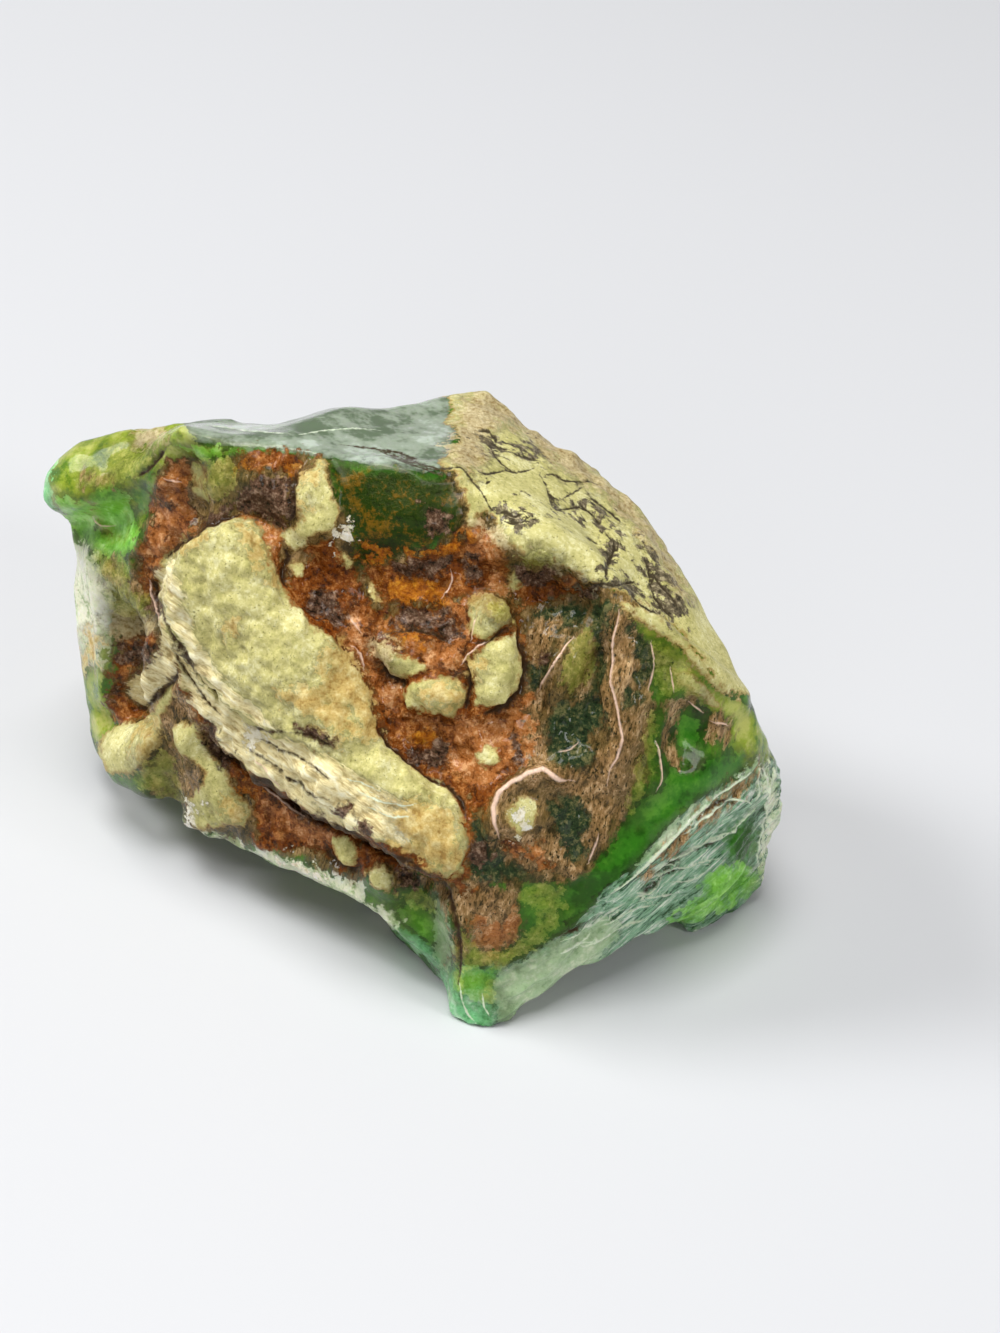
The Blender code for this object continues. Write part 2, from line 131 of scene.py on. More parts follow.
def inside_outline(places: np.ndarray, corners: np.ndarray) -> np.ndarray:
    """Tells which flat places are inside a closed outline.

    Args:
        places: One row of two numbers for each place.
        corners: The outline's corners, one row each.

    Returns:
        True for each place inside.
    """
    inside = np.zeros(len(places), dtype=bool)
    for start, end in zip(corners, np.roll(corners, -1, axis=0)):
        if start[1] == end[1]:
            continue
        crosses = (places[:, 1] < start[1]) != (places[:, 1] < end[1])
        at = start[0] + (places[:, 1] - start[1]) / (end[1] - start[1]) * (end[0] - start[0])
        inside ^= crosses & (places[:, 0] < at)
    return inside


@dataclass(frozen=True)
class Viewpoint:
    """The camera: where it stands, how it looks down, and how it leans."""

    position: tuple[float, float, float] = (5.68, -133.45, 119.13)
    down_deg: float = 38.0
    lean_deg: float = 4.0
    lens: float = 70.0
    sensor: float = 36.0
    frame_size: tuple[int, int] = (1000, 1333)
    clip_metres: tuple[float, float] = (0.01, 10.0)

    def axes(self) -> tuple[np.ndarray, np.ndarray, np.ndarray]:
        """Works out the camera's own directions.

        Returns:
            The picture's right, its up and the way the camera looks, as unit vectors.
        """
        down, lean = math.radians(self.down_deg), math.radians(self.lean_deg)
        level_right = np.array([1.0, 0.0, 0.0])
        level_up = np.array([0.0, math.sin(down), math.cos(down)])
        ahead = np.array([0.0, math.cos(down), -math.sin(down)])
        right = math.cos(lean) * level_right + math.sin(lean) * level_up
        up = math.cos(lean) * level_up - math.sin(lean) * level_right
        return right, up, ahead

    def pixels(self, points: np.ndarray) -> np.ndarray:
        """Finds where points of the stone come in the picture.

        Args:
            points: One row of millimetres for each point.

        Returns:
            One row of picture position for each point.
        """
        right, up, ahead = self.axes()
        away = points - np.array(self.position)
        depth = away @ ahead
        focal = self.lens / self.sensor * self.frame_size[1]
        across = self.frame_size[0] / 2 + focal * (away @ right) / depth
        down = self.frame_size[1] / 2 - focal * (away @ up) / depth
        return np.column_stack([across, down])

    def pixel_size(self, points: np.ndarray) -> float:
        """Gives the width in millimetres of one pixel at the middle of the points."""
        depth = (points.mean(axis=0) - np.array(self.position)) @ self.axes()[2]
        return float(depth) * self.sensor / (self.lens * self.frame_size[1])

    def build(self) -> bpy.types.Object:
        """Makes the camera and sets it as the scene's own.

        Returns:
            The camera object.
        """
        camera = bpy.data.cameras.new("camera")
        camera.lens = self.lens
        camera.sensor_fit = "VERTICAL"
        camera.sensor_height = self.sensor
        camera.clip_start, camera.clip_end = self.clip_metres
        right, up, ahead = self.axes()
        turn = Matrix((right, up, -ahead)).transposed().to_4x4()
        rig = bpy.data.objects.new("camera", camera)
        rig.matrix_world = Matrix.Translation(Vector(self.position) * MM) @ turn
        bpy.context.scene.collection.objects.link(rig)
        bpy.context.scene.camera = rig
        return rig


class Finish(Enum):
    """The stone's surfaces, each carried by an attribute of its own name."""

    BODY = "body"
    GLOSS = "gloss"
    EARTH = "earth"
    FIBRE = "fibre"
    MOSS = "moss"
    LIME = "lime"
    MINT = "mint"
    LEAF = "leaf"
    APPLE = "apple"
    OLIVE = "olive"
    PALE = "pale"
    SAGE = "sage"
    CLAY = "clay"
    RUST = "rust"
    SIENNA = "sienna"
    ORANGE = "orange"
    RIND = "rind"
    STREAK = "streak"
    STAIN = "stain"
    TAN = "tan"
    FERN = "fern"
    CHALK = "painted glint"
    DARK = "dark"
    SOOT = "soot"


class Mark(Enum):
    """What a line on the skin is, and the share of its width that is coloured, which on ribs and pale lines
    is partly a painted highlight.
    """

    FILLET = ("fillet", 0.0)
    CRACK = ("crack", 0.8)
    VEIN = ("vein", 0.6)
    RIB = ("rib", 0.35)
    FEATHER = ("feather", 0.6)

    def __init__(self, label: str, core: float) -> None:
        """Keeps the attribute's name and the coloured share."""
        self.label = label
        self.core = core


@dataclass(frozen=True)
class Line:
    """A crack, vein, rib or pale fibre along a path in the picture, or a highlight painted as a pale line.

    Height is how far it stands above the skin, and a crack's is below 0.
    """

    name: str
    width: float
    height: float
    path: Outline


# Where each finish lies on the sides that the camera sees: the outline of each area, by its name.
PATCHES: dict[Finish, dict[str, Outline]] = {
    # The top face's pale grey-green is painted sheen: a painted reflection of the pale surroundings over the
    # glossy green stone.
    Finish.GLOSS: {
        "top face": (
            (176, 410), (176, 426), (190, 440), (206, 444), (256, 448), (427, 473), (446, 466), (458, 431),
            (448, 421), (452, 396), (396, 390), (330, 390), (200, 404)),
    },
    Finish.EARTH: {
        "broken front": (
            (120, 622), (100, 602), (96, 568), (118, 560), (134, 548), (150, 510), (154, 478), (170, 458),
            (230, 458), (300, 453), (330, 463), (352, 540), (372, 566), (440, 541), (450, 500), (440, 470),
            (470, 470), (480, 505), (520, 540), (590, 570), (650, 606), (650, 640), (656, 700), (650, 760),
            (640, 790), (620, 822), (604, 858), (584, 886), (540, 894), (500, 886), (478, 904), (470, 944),
            (456, 950), (446, 902), (430, 874), (380, 880), (340, 880), (300, 860), (190, 830), (150, 790),
            (130, 740), (110, 700), (120, 650)),
    },
    Finish.FIBRE: {
        "fibrous face": (
            (764, 752), (740, 774), (694, 804), (674, 820), (650, 848), (620, 876), (562, 938), (500, 970),
            (484, 1040), (600, 975), (700, 930), (780, 900), (796, 830), (786, 770)),
    },
    Finish.MOSS: {
        "moss between the ribs": (
            (552, 708), (566, 702), (592, 686), (602, 694), (606, 715), (598, 736), (590, 746), (592, 762),
            (580, 770), (566, 768), (554, 756), (548, 742), (546, 724)),
        "moss column": ((588, 600), (605, 597), (616, 606), (607, 690), (599, 692), (597, 650), (589, 625)),
        "moss under the lip": (
            (528, 614), (546, 606), (590, 600), (596, 620), (580, 630), (560, 634), (540, 628)),
        "moss right of the long rib": (
            (626, 616), (640, 622), (652, 640), (655, 666), (646, 684), (634, 688), (629, 664)),
        "moss lower right of the long rib": ((618, 686), (642, 690), (646, 706), (630, 712), (616, 702)),
        "lower moss": (
            (550, 802), (565, 797), (582, 800), (592, 816), (592, 834), (586, 852), (574, 864), (560, 858),
            (553, 840)),
        "moss by the slab's end": (
            (462, 812), (472, 806), (492, 838), (506, 852), (524, 862), (528, 878), (506, 884), (488, 880),
            (470, 884), (464, 866), (466, 840)),
        "moss under the short rib": ((530, 648), (545, 648), (552, 662), (536, 700), (528, 690), (526, 666)),
    },
    Finish.LIME: {
        "knob": (
            (30, 480), (40, 440), (80, 420), (120, 415), (178, 412), (196, 442), (180, 458), (162, 466),
            (132, 556), (118, 562), (104, 556), (60, 522), (36, 508)),
        "green strip under the top edge": (
            (160, 455), (172, 446), (186, 442), (232, 449), (230, 457), (204, 460), (184, 458), (166, 466)),
        "lime strip inside the left rim": (
            (100, 640), (112, 632), (114, 648), (90, 714), (72, 704), (74, 668), (90, 664)),
        "green left of the pit": ((95, 690), (108, 694), (122, 738), (96, 742), (84, 728), (88, 704)),
        "yellow side of the shoulder": (
            (628, 614), (650, 624), (672, 640), (690, 656), (704, 676), (722, 694), (744, 704), (766, 724),
            (774, 756), (758, 772), (742, 766), (734, 748), (722, 740), (728, 724), (716, 714), (700, 706),
            (660, 652), (644, 640)),
        "yellow spot in the green band": ((646, 800), (660, 798), (662, 820), (650, 834), (644, 820)),
        "lime spot of the lower front": ((540, 900), (556, 898), (562, 908), (548, 918), (538, 912)),
        "yellow above the foot": ((462, 946), (490, 956), (522, 950), (510, 968), (466, 970)),
    },
    Finish.MINT: {
        "knob's cool edge": (
            (30, 500), (30, 470), (44, 444), (76, 424), (100, 424), (92, 434), (70, 444), (56, 462),
            (50, 484), (54, 502), (66, 520), (58, 526), (40, 516)),
        "facet's cool edge": ((398, 922), (412, 930), (444, 956), (446, 972), (430, 962), (390, 930)),
        "foot": (
            (440, 965), (452, 962), (470, 966), (498, 962), (508, 984), (506, 1004), (490, 1030), (466, 1036),
            (444, 1024), (434, 990)),
    },
    Finish.LEAF: {
        "vivid eye of the knob": (
            (100, 492), (112, 486), (122, 492), (121, 508), (114, 520), (102, 520), (95, 510)),
        "vivid band of the knob": ((142, 470), (152, 462), (156, 474), (146, 512), (138, 512), (133, 494)),
        "vivid drop": ((122, 559), (134, 556), (137, 568), (128, 576), (121, 570)),
        "under the top edge": (
            (328, 460), (400, 470), (396, 486), (372, 480), (354, 486), (346, 504), (336, 496), (330, 480)),
        "middle of the ring": (
            (677, 724), (686, 712), (697, 719), (701, 735), (696, 748), (684, 750), (676, 738)),
        "green band": (
            (568, 926), (584, 890), (640, 800), (664, 790), (668, 768), (690, 772), (722, 756), (744, 752),
            (752, 762), (694, 802), (672, 820), (648, 848)),
        "green of the lower front": (
            (522, 884), (560, 880), (600, 866), (588, 900), (560, 934), (540, 948), (522, 948), (516, 920)),
        "green on the right end": (
            (726, 832), (738, 818), (752, 812), (758, 830), (756, 856), (744, 868), (730, 864), (722, 850)),
    },
    Finish.APPLE: {
        "bump": (
            (700, 890), (706, 876), (718, 866), (742, 862), (760, 872), (764, 890), (722, 903), (706, 900)),
        "green of the foot": (
            (450, 966), (474, 964), (498, 966), (500, 990), (492, 1004), (472, 996), (452, 992)),
        "green of the facet": ((396, 902), (412, 900), (434, 910), (440, 936), (432, 946), (400, 918)),
        "green under the fibres": (
            (668, 925), (676, 910), (694, 898), (748, 884), (752, 896), (730, 908), (706, 916), (690, 924)),
        # Painted light: under the knob the apple green is painted brighter, lighting a side that lies in
        # shade; the green itself is the stone's own.
        "knob's underside": (
            (56, 500), (86, 498), (98, 528), (120, 538), (136, 518), (142, 545), (130, 558), (110, 562),
            (72, 536)),
        "green under the knob": (
            (94, 490), (112, 484), (126, 492), (136, 530), (120, 540), (102, 530), (92, 512)),
        "bright strip under the top edge": (
            (176, 442), (190, 446), (212, 448), (282, 451), (280, 455), (240, 456), (204, 460), (186, 452)),
    },
    Finish.OLIVE: {
        "dome": (
            (328, 462), (400, 471), (430, 476), (446, 481), (458, 494), (463, 510), (464, 526), (456, 536),
            (440, 541), (410, 556), (375, 569), (362, 576), (352, 566), (350, 550), (352, 536), (338, 506),
            (332, 486)),
    },
    Finish.PALE: {
        # The left rim's near-white is partly its own pale rind and partly painted light that lifts its
        # shaded, down-facing side.
        "thin rim of the left end": (
            (52, 524), (68, 531), (84, 545), (100, 562), (112, 584), (118, 606), (116, 624), (108, 640),
            (100, 664), (84, 668), (66, 640)),
        "left edge": (
            (254, 846), (272, 850), (362, 885), (366, 900), (398, 918), (404, 932), (380, 924), (352, 904),
            (330, 892), (300, 880), (270, 864), (246, 854)),
        "left edge of the lower patch": (
            (184, 812), (190, 826), (206, 834), (232, 838), (252, 846), (236, 852), (206, 844), (184, 832)),
        "right end's pale edge": (
            (757, 758), (768, 764), (780, 800), (778, 850), (770, 890), (758, 890), (760, 860), (766, 820)),
    },
    Finish.SAGE: {
        "glassy ridge": ((436, 890), (444, 900), (450, 922), (453, 950), (452, 970), (444, 970), (434, 956)),
        "right edge of the foot": (
            (498, 970), (516, 962), (552, 940), (580, 930), (606, 915), (622, 925), (600, 960), (540, 1010),
            (500, 1034), (494, 1000)),
        "crest of the right ridge": (
            (756, 758), (738, 776), (674, 822), (634, 866), (646, 860), (712, 804), (738, 788), (760, 768)),
    },
    Finish.CLAY: {
        "clay right of the blocks": (
            (526, 618), (545, 613), (560, 622), (558, 640), (546, 656), (532, 664), (524, 650)),
        "clay under the short rib": ((562, 636), (576, 630), (574, 646), (564, 668), (550, 690), (536, 704)),
        "clay under the window": ((560, 692), (592, 678), (590, 690), (572, 696)),
        "clay along the long rib": (
            (606, 632), (616, 612), (626, 622), (634, 640), (638, 662), (632, 682), (622, 692), (626, 704),
            (644, 708), (652, 716), (646, 742), (620, 808), (606, 834), (592, 850), (586, 840), (590, 820),
            (582, 800), (586, 770), (602, 744), (612, 720), (604, 690)),
        "clay between the moss": ((574, 772), (590, 766), (600, 776), (594, 800), (580, 800), (566, 792)),
        "clay left of the moss": (
            (524, 700), (540, 696), (546, 710), (540, 730), (546, 750), (556, 766), (540, 770), (524, 766),
            (518, 740)),
        "left arc of the ring": (
            (657, 746), (660, 722), (667, 705), (678, 694), (694, 689), (704, 698), (682, 716), (675, 728),
            (673, 746), (690, 766), (680, 770), (666, 760)),
        "right of the ring": (
            (704, 712), (716, 711), (731, 719), (735, 730), (726, 738), (710, 742), (703, 730)),
        "curled rib's lip": (
            (492, 812), (498, 794), (510, 780), (528, 770), (548, 766), (576, 776), (572, 788), (540, 782),
            (524, 788), (510, 798), (504, 814), (506, 836), (496, 844), (488, 830)),
        "red chunk under the curled rib": (
            (488, 842), (505, 834), (520, 838), (536, 830), (552, 834), (562, 846), (567, 860), (578, 870),
            (572, 880), (555, 876), (510, 860), (496, 852)),
        "brown streak on the fibrous face": (
            (757, 766), (762, 772), (742, 792), (694, 832), (664, 862), (660, 856), (676, 838), (700, 814)),
        "brown spot on the fibrous face": ((636, 876), (646, 868), (658, 867), (654, 876), (642, 882)),
        "column": (
            (444, 880), (456, 876), (472, 880), (480, 892), (470, 918), (474, 938), (466, 952), (460, 948),
            (453, 902)),
        "brown left of the lower patch": (
            (160, 736), (168, 727), (184, 758), (198, 766), (206, 776), (190, 812), (182, 806), (178, 770),
            (163, 748)),
        "brown under the rib": (
            (172, 682), (182, 676), (206, 698), (232, 730), (236, 748), (224, 744), (212, 728), (204, 722),
            (178, 716), (168, 726), (160, 716), (164, 700)),
        "brown under the knob": ((100, 562), (114, 556), (122, 570), (146, 586), (146, 598), (102, 576)),
        "brown above the facet": (
            (392, 862), (412, 858), (432, 872), (444, 886), (452, 904), (458, 928), (461, 952), (456, 960),
            (452, 930), (446, 906), (434, 894), (416, 886), (400, 888)),
        "streak in the knob": ((88, 478), (98, 474), (112, 474), (110, 484), (98, 488), (88, 486)),
        "column face": (
            (460, 886), (480, 878), (500, 882), (516, 892), (520, 912), (512, 940), (500, 954), (480, 958),
            (466, 948), (458, 920)),
    },
    Finish.RUST: {
        "rust round the slab": (
            (153, 592), (151, 572), (158, 556), (170, 544), (198, 522), (220, 511), (244, 508), (262, 514),
            (276, 530), (284, 560), (300, 590), (340, 606), (380, 626), (470, 610), (520, 620), (524, 700),
            (500, 760), (474, 800), (474, 850), (470, 880), (450, 888), (430, 880), (400, 862), (330, 832),
            (300, 815), (220, 760), (204, 735), (158, 640)),
        "rust beside the slab": (
            (303, 548), (312, 540), (326, 538), (341, 545), (349, 556), (352, 568), (362, 578), (376, 604),
            (388, 612), (398, 606), (420, 604), (450, 606), (462, 596), (472, 596), (490, 592), (506, 594),
            (520, 604), (526, 616), (528, 664), (524, 772), (506, 786), (494, 800), (486, 820), (474, 812),
            (452, 788), (440, 778), (425, 773), (414, 766), (380, 733), (373, 716), (366, 684), (352, 664),
            (346, 650), (292, 604), (284, 588), (284, 578), (298, 574), (304, 560)),
        "rust above the dark arc": (
            (354, 548), (368, 566), (396, 562), (460, 534), (486, 514), (494, 524), (502, 542), (512, 550),
            (514, 572), (506, 594), (466, 602), (450, 608), (396, 606), (376, 600), (366, 584)),
        "rust at the lip": (
            (508, 572), (560, 570), (580, 574), (586, 586), (600, 588), (590, 594), (570, 596), (532, 610),
            (516, 604), (504, 592)),
        "rust under the top edge": (
            (228, 457), (250, 448), (302, 452), (318, 457), (304, 464), (299, 480), (292, 488), (290, 474),
            (270, 472), (256, 480), (240, 472)),
        "rust trough": (
            (158, 476), (166, 464), (184, 458), (193, 470), (192, 496), (199, 518), (192, 532), (178, 545),
            (156, 576), (157, 590), (152, 604), (144, 598), (134, 582), (138, 560), (134, 546), (146, 534),
            (152, 518), (150, 504)),
        "rust in the pit": (
            (118, 634), (136, 630), (156, 622), (161, 636), (157, 652), (132, 676), (127, 690), (134, 702),
            (148, 708), (152, 722), (132, 724), (118, 728), (108, 706), (107, 694), (112, 672), (120, 652)),
        "rust under the band": (
            (222, 744), (282, 795), (312, 814), (350, 831), (370, 843), (420, 864), (410, 874), (396, 874),
            (380, 864), (368, 874), (352, 876), (338, 870), (318, 848), (300, 852), (280, 853), (262, 847),
            (250, 836), (252, 800), (237, 795), (226, 764)),
        "rust spot of the column": ((452, 880), (466, 878), (472, 890), (462, 898), (453, 892)),
        "rust over the red chunk": (
            (500, 842), (520, 840), (534, 852), (552, 862), (546, 870), (526, 862), (508, 858)),
    },
    Finish.SIENNA: {
        "strip between crust and slab": (
            (250, 514), (264, 522), (282, 527), (286, 538), (274, 564), (278, 578), (270, 572), (262, 552),
            (246, 524)),
        "between the blocks": (
            (436, 590), (452, 600), (466, 596), (470, 610), (466, 640), (466, 668), (440, 672), (424, 660),
            (424, 650), (408, 648), (392, 632), (404, 632), (430, 640), (452, 640), (460, 625), (452, 608)),
        "right of the dome": (
            (468, 524), (486, 514), (506, 560), (490, 566), (480, 556), (470, 560), (456, 548)),
        "under the lip": (
            (486, 580), (500, 575), (510, 592), (524, 606), (522, 616), (506, 600), (490, 596), (478, 598)),
        # This strip and the trough's lower end are partly their own glossy sienna and partly painted
        # highlight, lighter where the wet rust caught the light.
        "glossy strip with painted glints beside the slab": (
            (350, 600), (362, 608), (372, 620), (372, 640), (376, 664), (386, 680), (402, 690), (404, 710),
            (392, 720), (380, 706), (346, 640), (342, 620)),
        "lower end of the trough": (
            (160, 540), (172, 530), (190, 520), (196, 528), (166, 560), (158, 574), (150, 566)),
        "below the blocks": (
            (400, 712), (430, 720), (470, 722), (500, 720), (524, 706), (526, 760), (500, 780), (470, 786),
            (450, 776), (440, 760), (444, 740)),
        "right wall": ((524, 690), (534, 696), (530, 720), (534, 750), (528, 772), (520, 760), (520, 720)),
        "red chunk": ((504, 850), (538, 842), (548, 852), (546, 866), (530, 866), (512, 860)),
        "middle of the rust under the band": (
            (262, 800), (280, 806), (300, 822), (320, 832), (340, 838), (322, 842), (300, 838), (276, 826)),
        "trough": (
            (160, 482), (170, 468), (184, 463), (190, 476), (190, 500), (194, 516), (165, 545), (152, 562),
            (146, 552), (154, 526), (156, 500)),
        "rust of the column": (
            (472, 926), (484, 918), (500, 920), (514, 912), (518, 926), (508, 944), (494, 954), (480, 950),
            (472, 940)),
    },
    Finish.ORANGE: {
        "orange fleck": ((411, 736), (419, 730), (432, 728), (441, 733), (428, 751), (418, 749)),
        "orange field": ((384, 584), (400, 574), (430, 576), (448, 586), (444, 602), (416, 602), (392, 600)),
        "orange above the dark line": (
            (404, 552), (452, 542), (470, 528), (482, 534), (470, 548), (446, 556), (420, 560)),
        "orange in the dome": ((356, 548), (376, 540), (398, 548), (390, 560), (366, 562)),
        "orange at the crust": ((233, 461), (246, 458), (252, 468), (244, 476), (236, 470)),
        "orange right of the crust": ((286, 464), (296, 466), (297, 478), (288, 480)),
        "orange under the arc": ((384, 628), (410, 629), (436, 634), (430, 642), (400, 640)),
        "orange in the block": ((389, 652), (396, 650), (402, 656), (398, 664), (390, 662)),
        "orange under the band": ((232, 786), (246, 784), (258, 790), (252, 798), (238, 796)),
    },
    Finish.RIND: {
        "ridge of the shoulder": (
            (668, 664), (688, 673), (706, 687), (720, 708), (710, 704), (692, 690), (674, 678)),
        "cream slab and band": (
            (160, 590), (157, 576), (163, 562), (172, 550), (197, 530), (207, 523), (220, 518), (240, 515),
            (254, 519), (262, 530), (270, 560), (292, 605), (347, 651), (353, 665), (362, 676), (368, 690),
            (374, 718), (381, 735), (415, 768), (426, 775), (440, 780), (452, 790), (458, 800), (463, 815),
            (467, 845), (462, 872), (452, 879), (440, 876), (420, 858), (405, 850), (390, 845), (360, 830),
            (330, 820), (250, 767), (230, 750), (222, 742), (196, 705), (182, 678), (170, 650)),
        "left lump": (
            (118, 725), (147, 721), (161, 694), (172, 686), (175, 694), (167, 708), (160, 742), (142, 768),
            (130, 776), (104, 772), (98, 744), (106, 732)),
        "lower left patch": (
            (172, 728), (185, 722), (200, 727), (204, 742), (212, 755), (222, 765), (236, 795), (250, 800),
            (252, 816), (245, 829), (228, 824), (200, 831), (192, 828), (187, 815), (190, 800), (206, 775),
            (195, 762), (182, 755), (176, 745)),
        "pebble": (
            (332, 846), (338, 840), (350, 839), (360, 845), (362, 855), (353, 865), (342, 864), (334, 855)),
        "cream bit": ((366, 872), (378, 867), (392, 871), (397, 882), (388, 891), (376, 889), (368, 880)),
        "right cream block": (
            (478, 650), (490, 640), (505, 634), (517, 632), (523, 660), (519, 690), (512, 700), (500, 708),
            (487, 710), (476, 705), (472, 690), (474, 675), (468, 665), (470, 655)),
        "upper cream block": (
            (468, 625), (470, 610), (478, 600), (490, 596), (503, 598), (512, 618), (503, 628), (490, 637),
            (480, 641), (472, 638)),
        "lower cream block": (
            (404, 700), (405, 688), (414, 680), (430, 676), (445, 675), (458, 680), (466, 690), (466, 704),
            (455, 712), (440, 716), (410, 710)),
        "left cream block": (
            (376, 642), (384, 640), (392, 650), (404, 656), (418, 658), (424, 668), (416, 676), (400, 678),
            (390, 672), (380, 662)),
        "block by the crust": (
            (298, 478), (312, 464), (318, 461), (325, 462), (330, 485), (340, 510), (338, 525), (330, 535),
            (318, 534), (308, 540), (305, 548), (295, 551), (286, 545), (282, 535), (300, 520), (296, 505),
            (295, 490)),
        "chip by the crust": ((290, 564), (298, 560), (304, 567), (300, 574), (292, 573)),
        "chip above the lip's hollow": ((344, 548), (352, 562), (348, 568), (340, 556)),
        "green-grey chips": ((366, 578), (374, 584), (380, 600), (374, 604), (368, 592)),
        "faint lower block": ((474, 752), (486, 746), (498, 752), (500, 762), (486, 767), (476, 762)),
        "cream knob": (
            (506, 814), (514, 802), (526, 796), (538, 802), (539, 815), (531, 828), (519, 836), (509, 829)),
        "lump under the face": ((506, 574), (514, 566), (522, 574), (522, 588), (512, 592)),
        "cream face": (
            (440, 462), (452, 474), (462, 489), (466, 520), (471, 530), (476, 519), (486, 512), (493, 520),
            (496, 532), (502, 541), (528, 562), (550, 557), (556, 568), (580, 572), (584, 583), (596, 584),
            (626, 596), (674, 628), (724, 692), (760, 700), (712, 610), (696, 560), (670, 510), (640, 470),
            (556, 404), (520, 380), (470, 380), (446, 392), (452, 410), (446, 422), (456, 432), (452, 452)),
        "rim of the shoulder": (
            (622, 602), (640, 606), (662, 616), (677, 628), (706, 666), (722, 684), (740, 700), (724, 694),
            (708, 681), (679, 649), (662, 636), (630, 618)),
        "cream corner beside the crust": (
            (193, 466), (200, 462), (206, 470), (205, 486), (212, 498), (206, 502), (196, 496)),
    },
    Finish.STREAK: {
        # The cream rib is painted in the brighter streaked finish to light its shaded, recessed side: partly
        # its own cream, partly painted light.
        "cream rib": (
            (160, 600), (158, 618), (162, 636), (157, 654), (150, 665), (140, 672), (130, 683), (130, 693),
            (140, 701), (150, 704), (161, 685), (180, 668), (166, 614)),
        "band": (
            (166, 604), (174, 630), (186, 652), (202, 678), (220, 698), (248, 719), (292, 738), (402, 800),
            (420, 822), (404, 846), (345, 826), (318, 812), (240, 758), (222, 742), (188, 690), (176, 664),
            (167, 635)),
        "slab's left edge": (
            (160, 590), (162, 568), (172, 560), (180, 576), (184, 600), (196, 630), (212, 658), (236, 690),
            (282, 726), (262, 722), (214, 688), (198, 668), (182, 640)),
    },
    Finish.STAIN: {
        "slab's upper right edge": ((236, 520), (250, 524), (278, 588), (268, 584), (242, 540)),
        "slab's upper left": ((176, 552), (196, 536), (214, 528), (206, 540), (186, 552)),
        "slab's lower right": (
            (320, 660), (338, 644), (352, 658), (366, 684), (374, 716), (384, 742), (366, 740), (348, 712),
            (324, 690)),
        "slab's corner": ((300, 726), (312, 722), (330, 736), (348, 738), (340, 748), (318, 744)),
        "lump's tan side": ((146, 726), (158, 716), (160, 742), (152, 756), (140, 762), (134, 750)),
        "slab's lower end": (
            (396, 806), (420, 800), (444, 808), (460, 832), (458, 862), (446, 874), (414, 848), (400, 832)),
        "slab's lower edge": ((390, 842), (410, 838), (424, 850), (432, 866)),
        "middle of the slab": ((226, 622), (236, 618), (240, 634), (230, 640)),
        "tan of the slab's lower left": (
            (276, 690), (300, 684), (326, 694), (348, 700), (362, 718), (366, 736), (346, 736), (328, 724),
            (312, 716), (290, 708)),
        "tan of the rim": ((84, 632), (96, 626), (101, 640), (94, 660), (84, 668), (81, 650)),
        "second orange at the crest": ((618, 504), (628, 502), (634, 516), (624, 520)),
        "orange at the crest": ((544, 444), (552, 446), (556, 458), (546, 456)),
        "orange of the peak": ((462, 462), (472, 456), (480, 466), (470, 474)),
        "tan of the upper block": ((300, 472), (312, 466), (322, 470), (314, 482), (304, 486)),
        "tan patch of the upper block": ((298, 500), (308, 498), (312, 510), (304, 516)),
        "left part of the right block": ((466, 652), (478, 650), (486, 666), (476, 680), (468, 670)),
        "stain of the top block": ((474, 600), (492, 594), (508, 604), (511, 618), (498, 624), (484, 612)),
        "stain of the lower block": ((424, 690), (438, 682), (458, 684), (462, 700), (446, 706), (430, 702)),
        "tan of the lower patch": ((218, 790), (234, 800), (246, 816), (236, 822), (222, 806)),
    },
    Finish.TAN: {
        "tan above the pit": (
            (112, 612), (124, 610), (140, 614), (158, 624), (158, 632), (126, 640), (114, 634)),
        "beige patch on the knob": (
            (130, 426), (140, 422), (162, 422), (168, 436), (152, 451), (140, 451), (132, 444)),
        "tan of the left block": ((372, 640), (390, 640), (398, 656), (388, 672), (376, 662)),
        "peak": (
            (444, 446), (456, 432), (456, 410), (470, 392), (500, 394), (520, 412), (486, 440), (490, 456),
            (480, 470), (464, 472), (452, 460)),
        "crest of the face": (
            (498, 398), (520, 404), (548, 430), (590, 462), (660, 530), (692, 600), (676, 604), (652, 560),
            (632, 530), (604, 500), (566, 474), (512, 430), (496, 420)),
        "tan lower edge of the face": (
            (470, 524), (490, 516), (510, 540), (540, 556), (566, 566), (584, 578), (560, 572), (530, 560),
            (500, 544)),
    },
    Finish.FERN: {
        "mottling of the knob": (
            (104, 452), (124, 446), (146, 450), (150, 462), (140, 474), (126, 482), (104, 488), (88, 484),
            (96, 472), (106, 464)),
        "mottling under the knob": (
            (88, 552), (104, 552), (122, 562), (132, 572), (124, 586), (108, 582), (96, 574)),
        "pale window": (
            (560, 682), (566, 657), (574, 638), (588, 626), (596, 644), (594, 668), (583, 684), (570, 692)),
        "facet left of the foot": ((392, 893), (405, 888), (422, 892), (434, 900), (436, 914), (404, 904)),
        "green of the shoulder": (
            (652, 644), (668, 648), (688, 672), (700, 694), (690, 696), (676, 694), (664, 700), (655, 690)),
        "olive beside the crust": (
            (198, 460), (230, 456), (238, 470), (230, 500), (210, 502), (204, 490), (206, 474)),
        "olive of the left lump": (
            (136, 770), (148, 758), (160, 750), (170, 758), (178, 772), (186, 812), (152, 796), (138, 784)),
        "olive under the knob": (
            (102, 586), (116, 582), (150, 596), (152, 612), (136, 618), (118, 614), (106, 602)),
        "foot of the front": (
            (460, 930), (480, 950), (510, 952), (536, 924), (556, 904), (566, 908), (552, 934), (530, 954),
            (500, 968), (462, 968)),
        "olive right of the column": ((522, 890), (540, 884), (562, 890), (560, 908), (540, 912), (524, 906)),
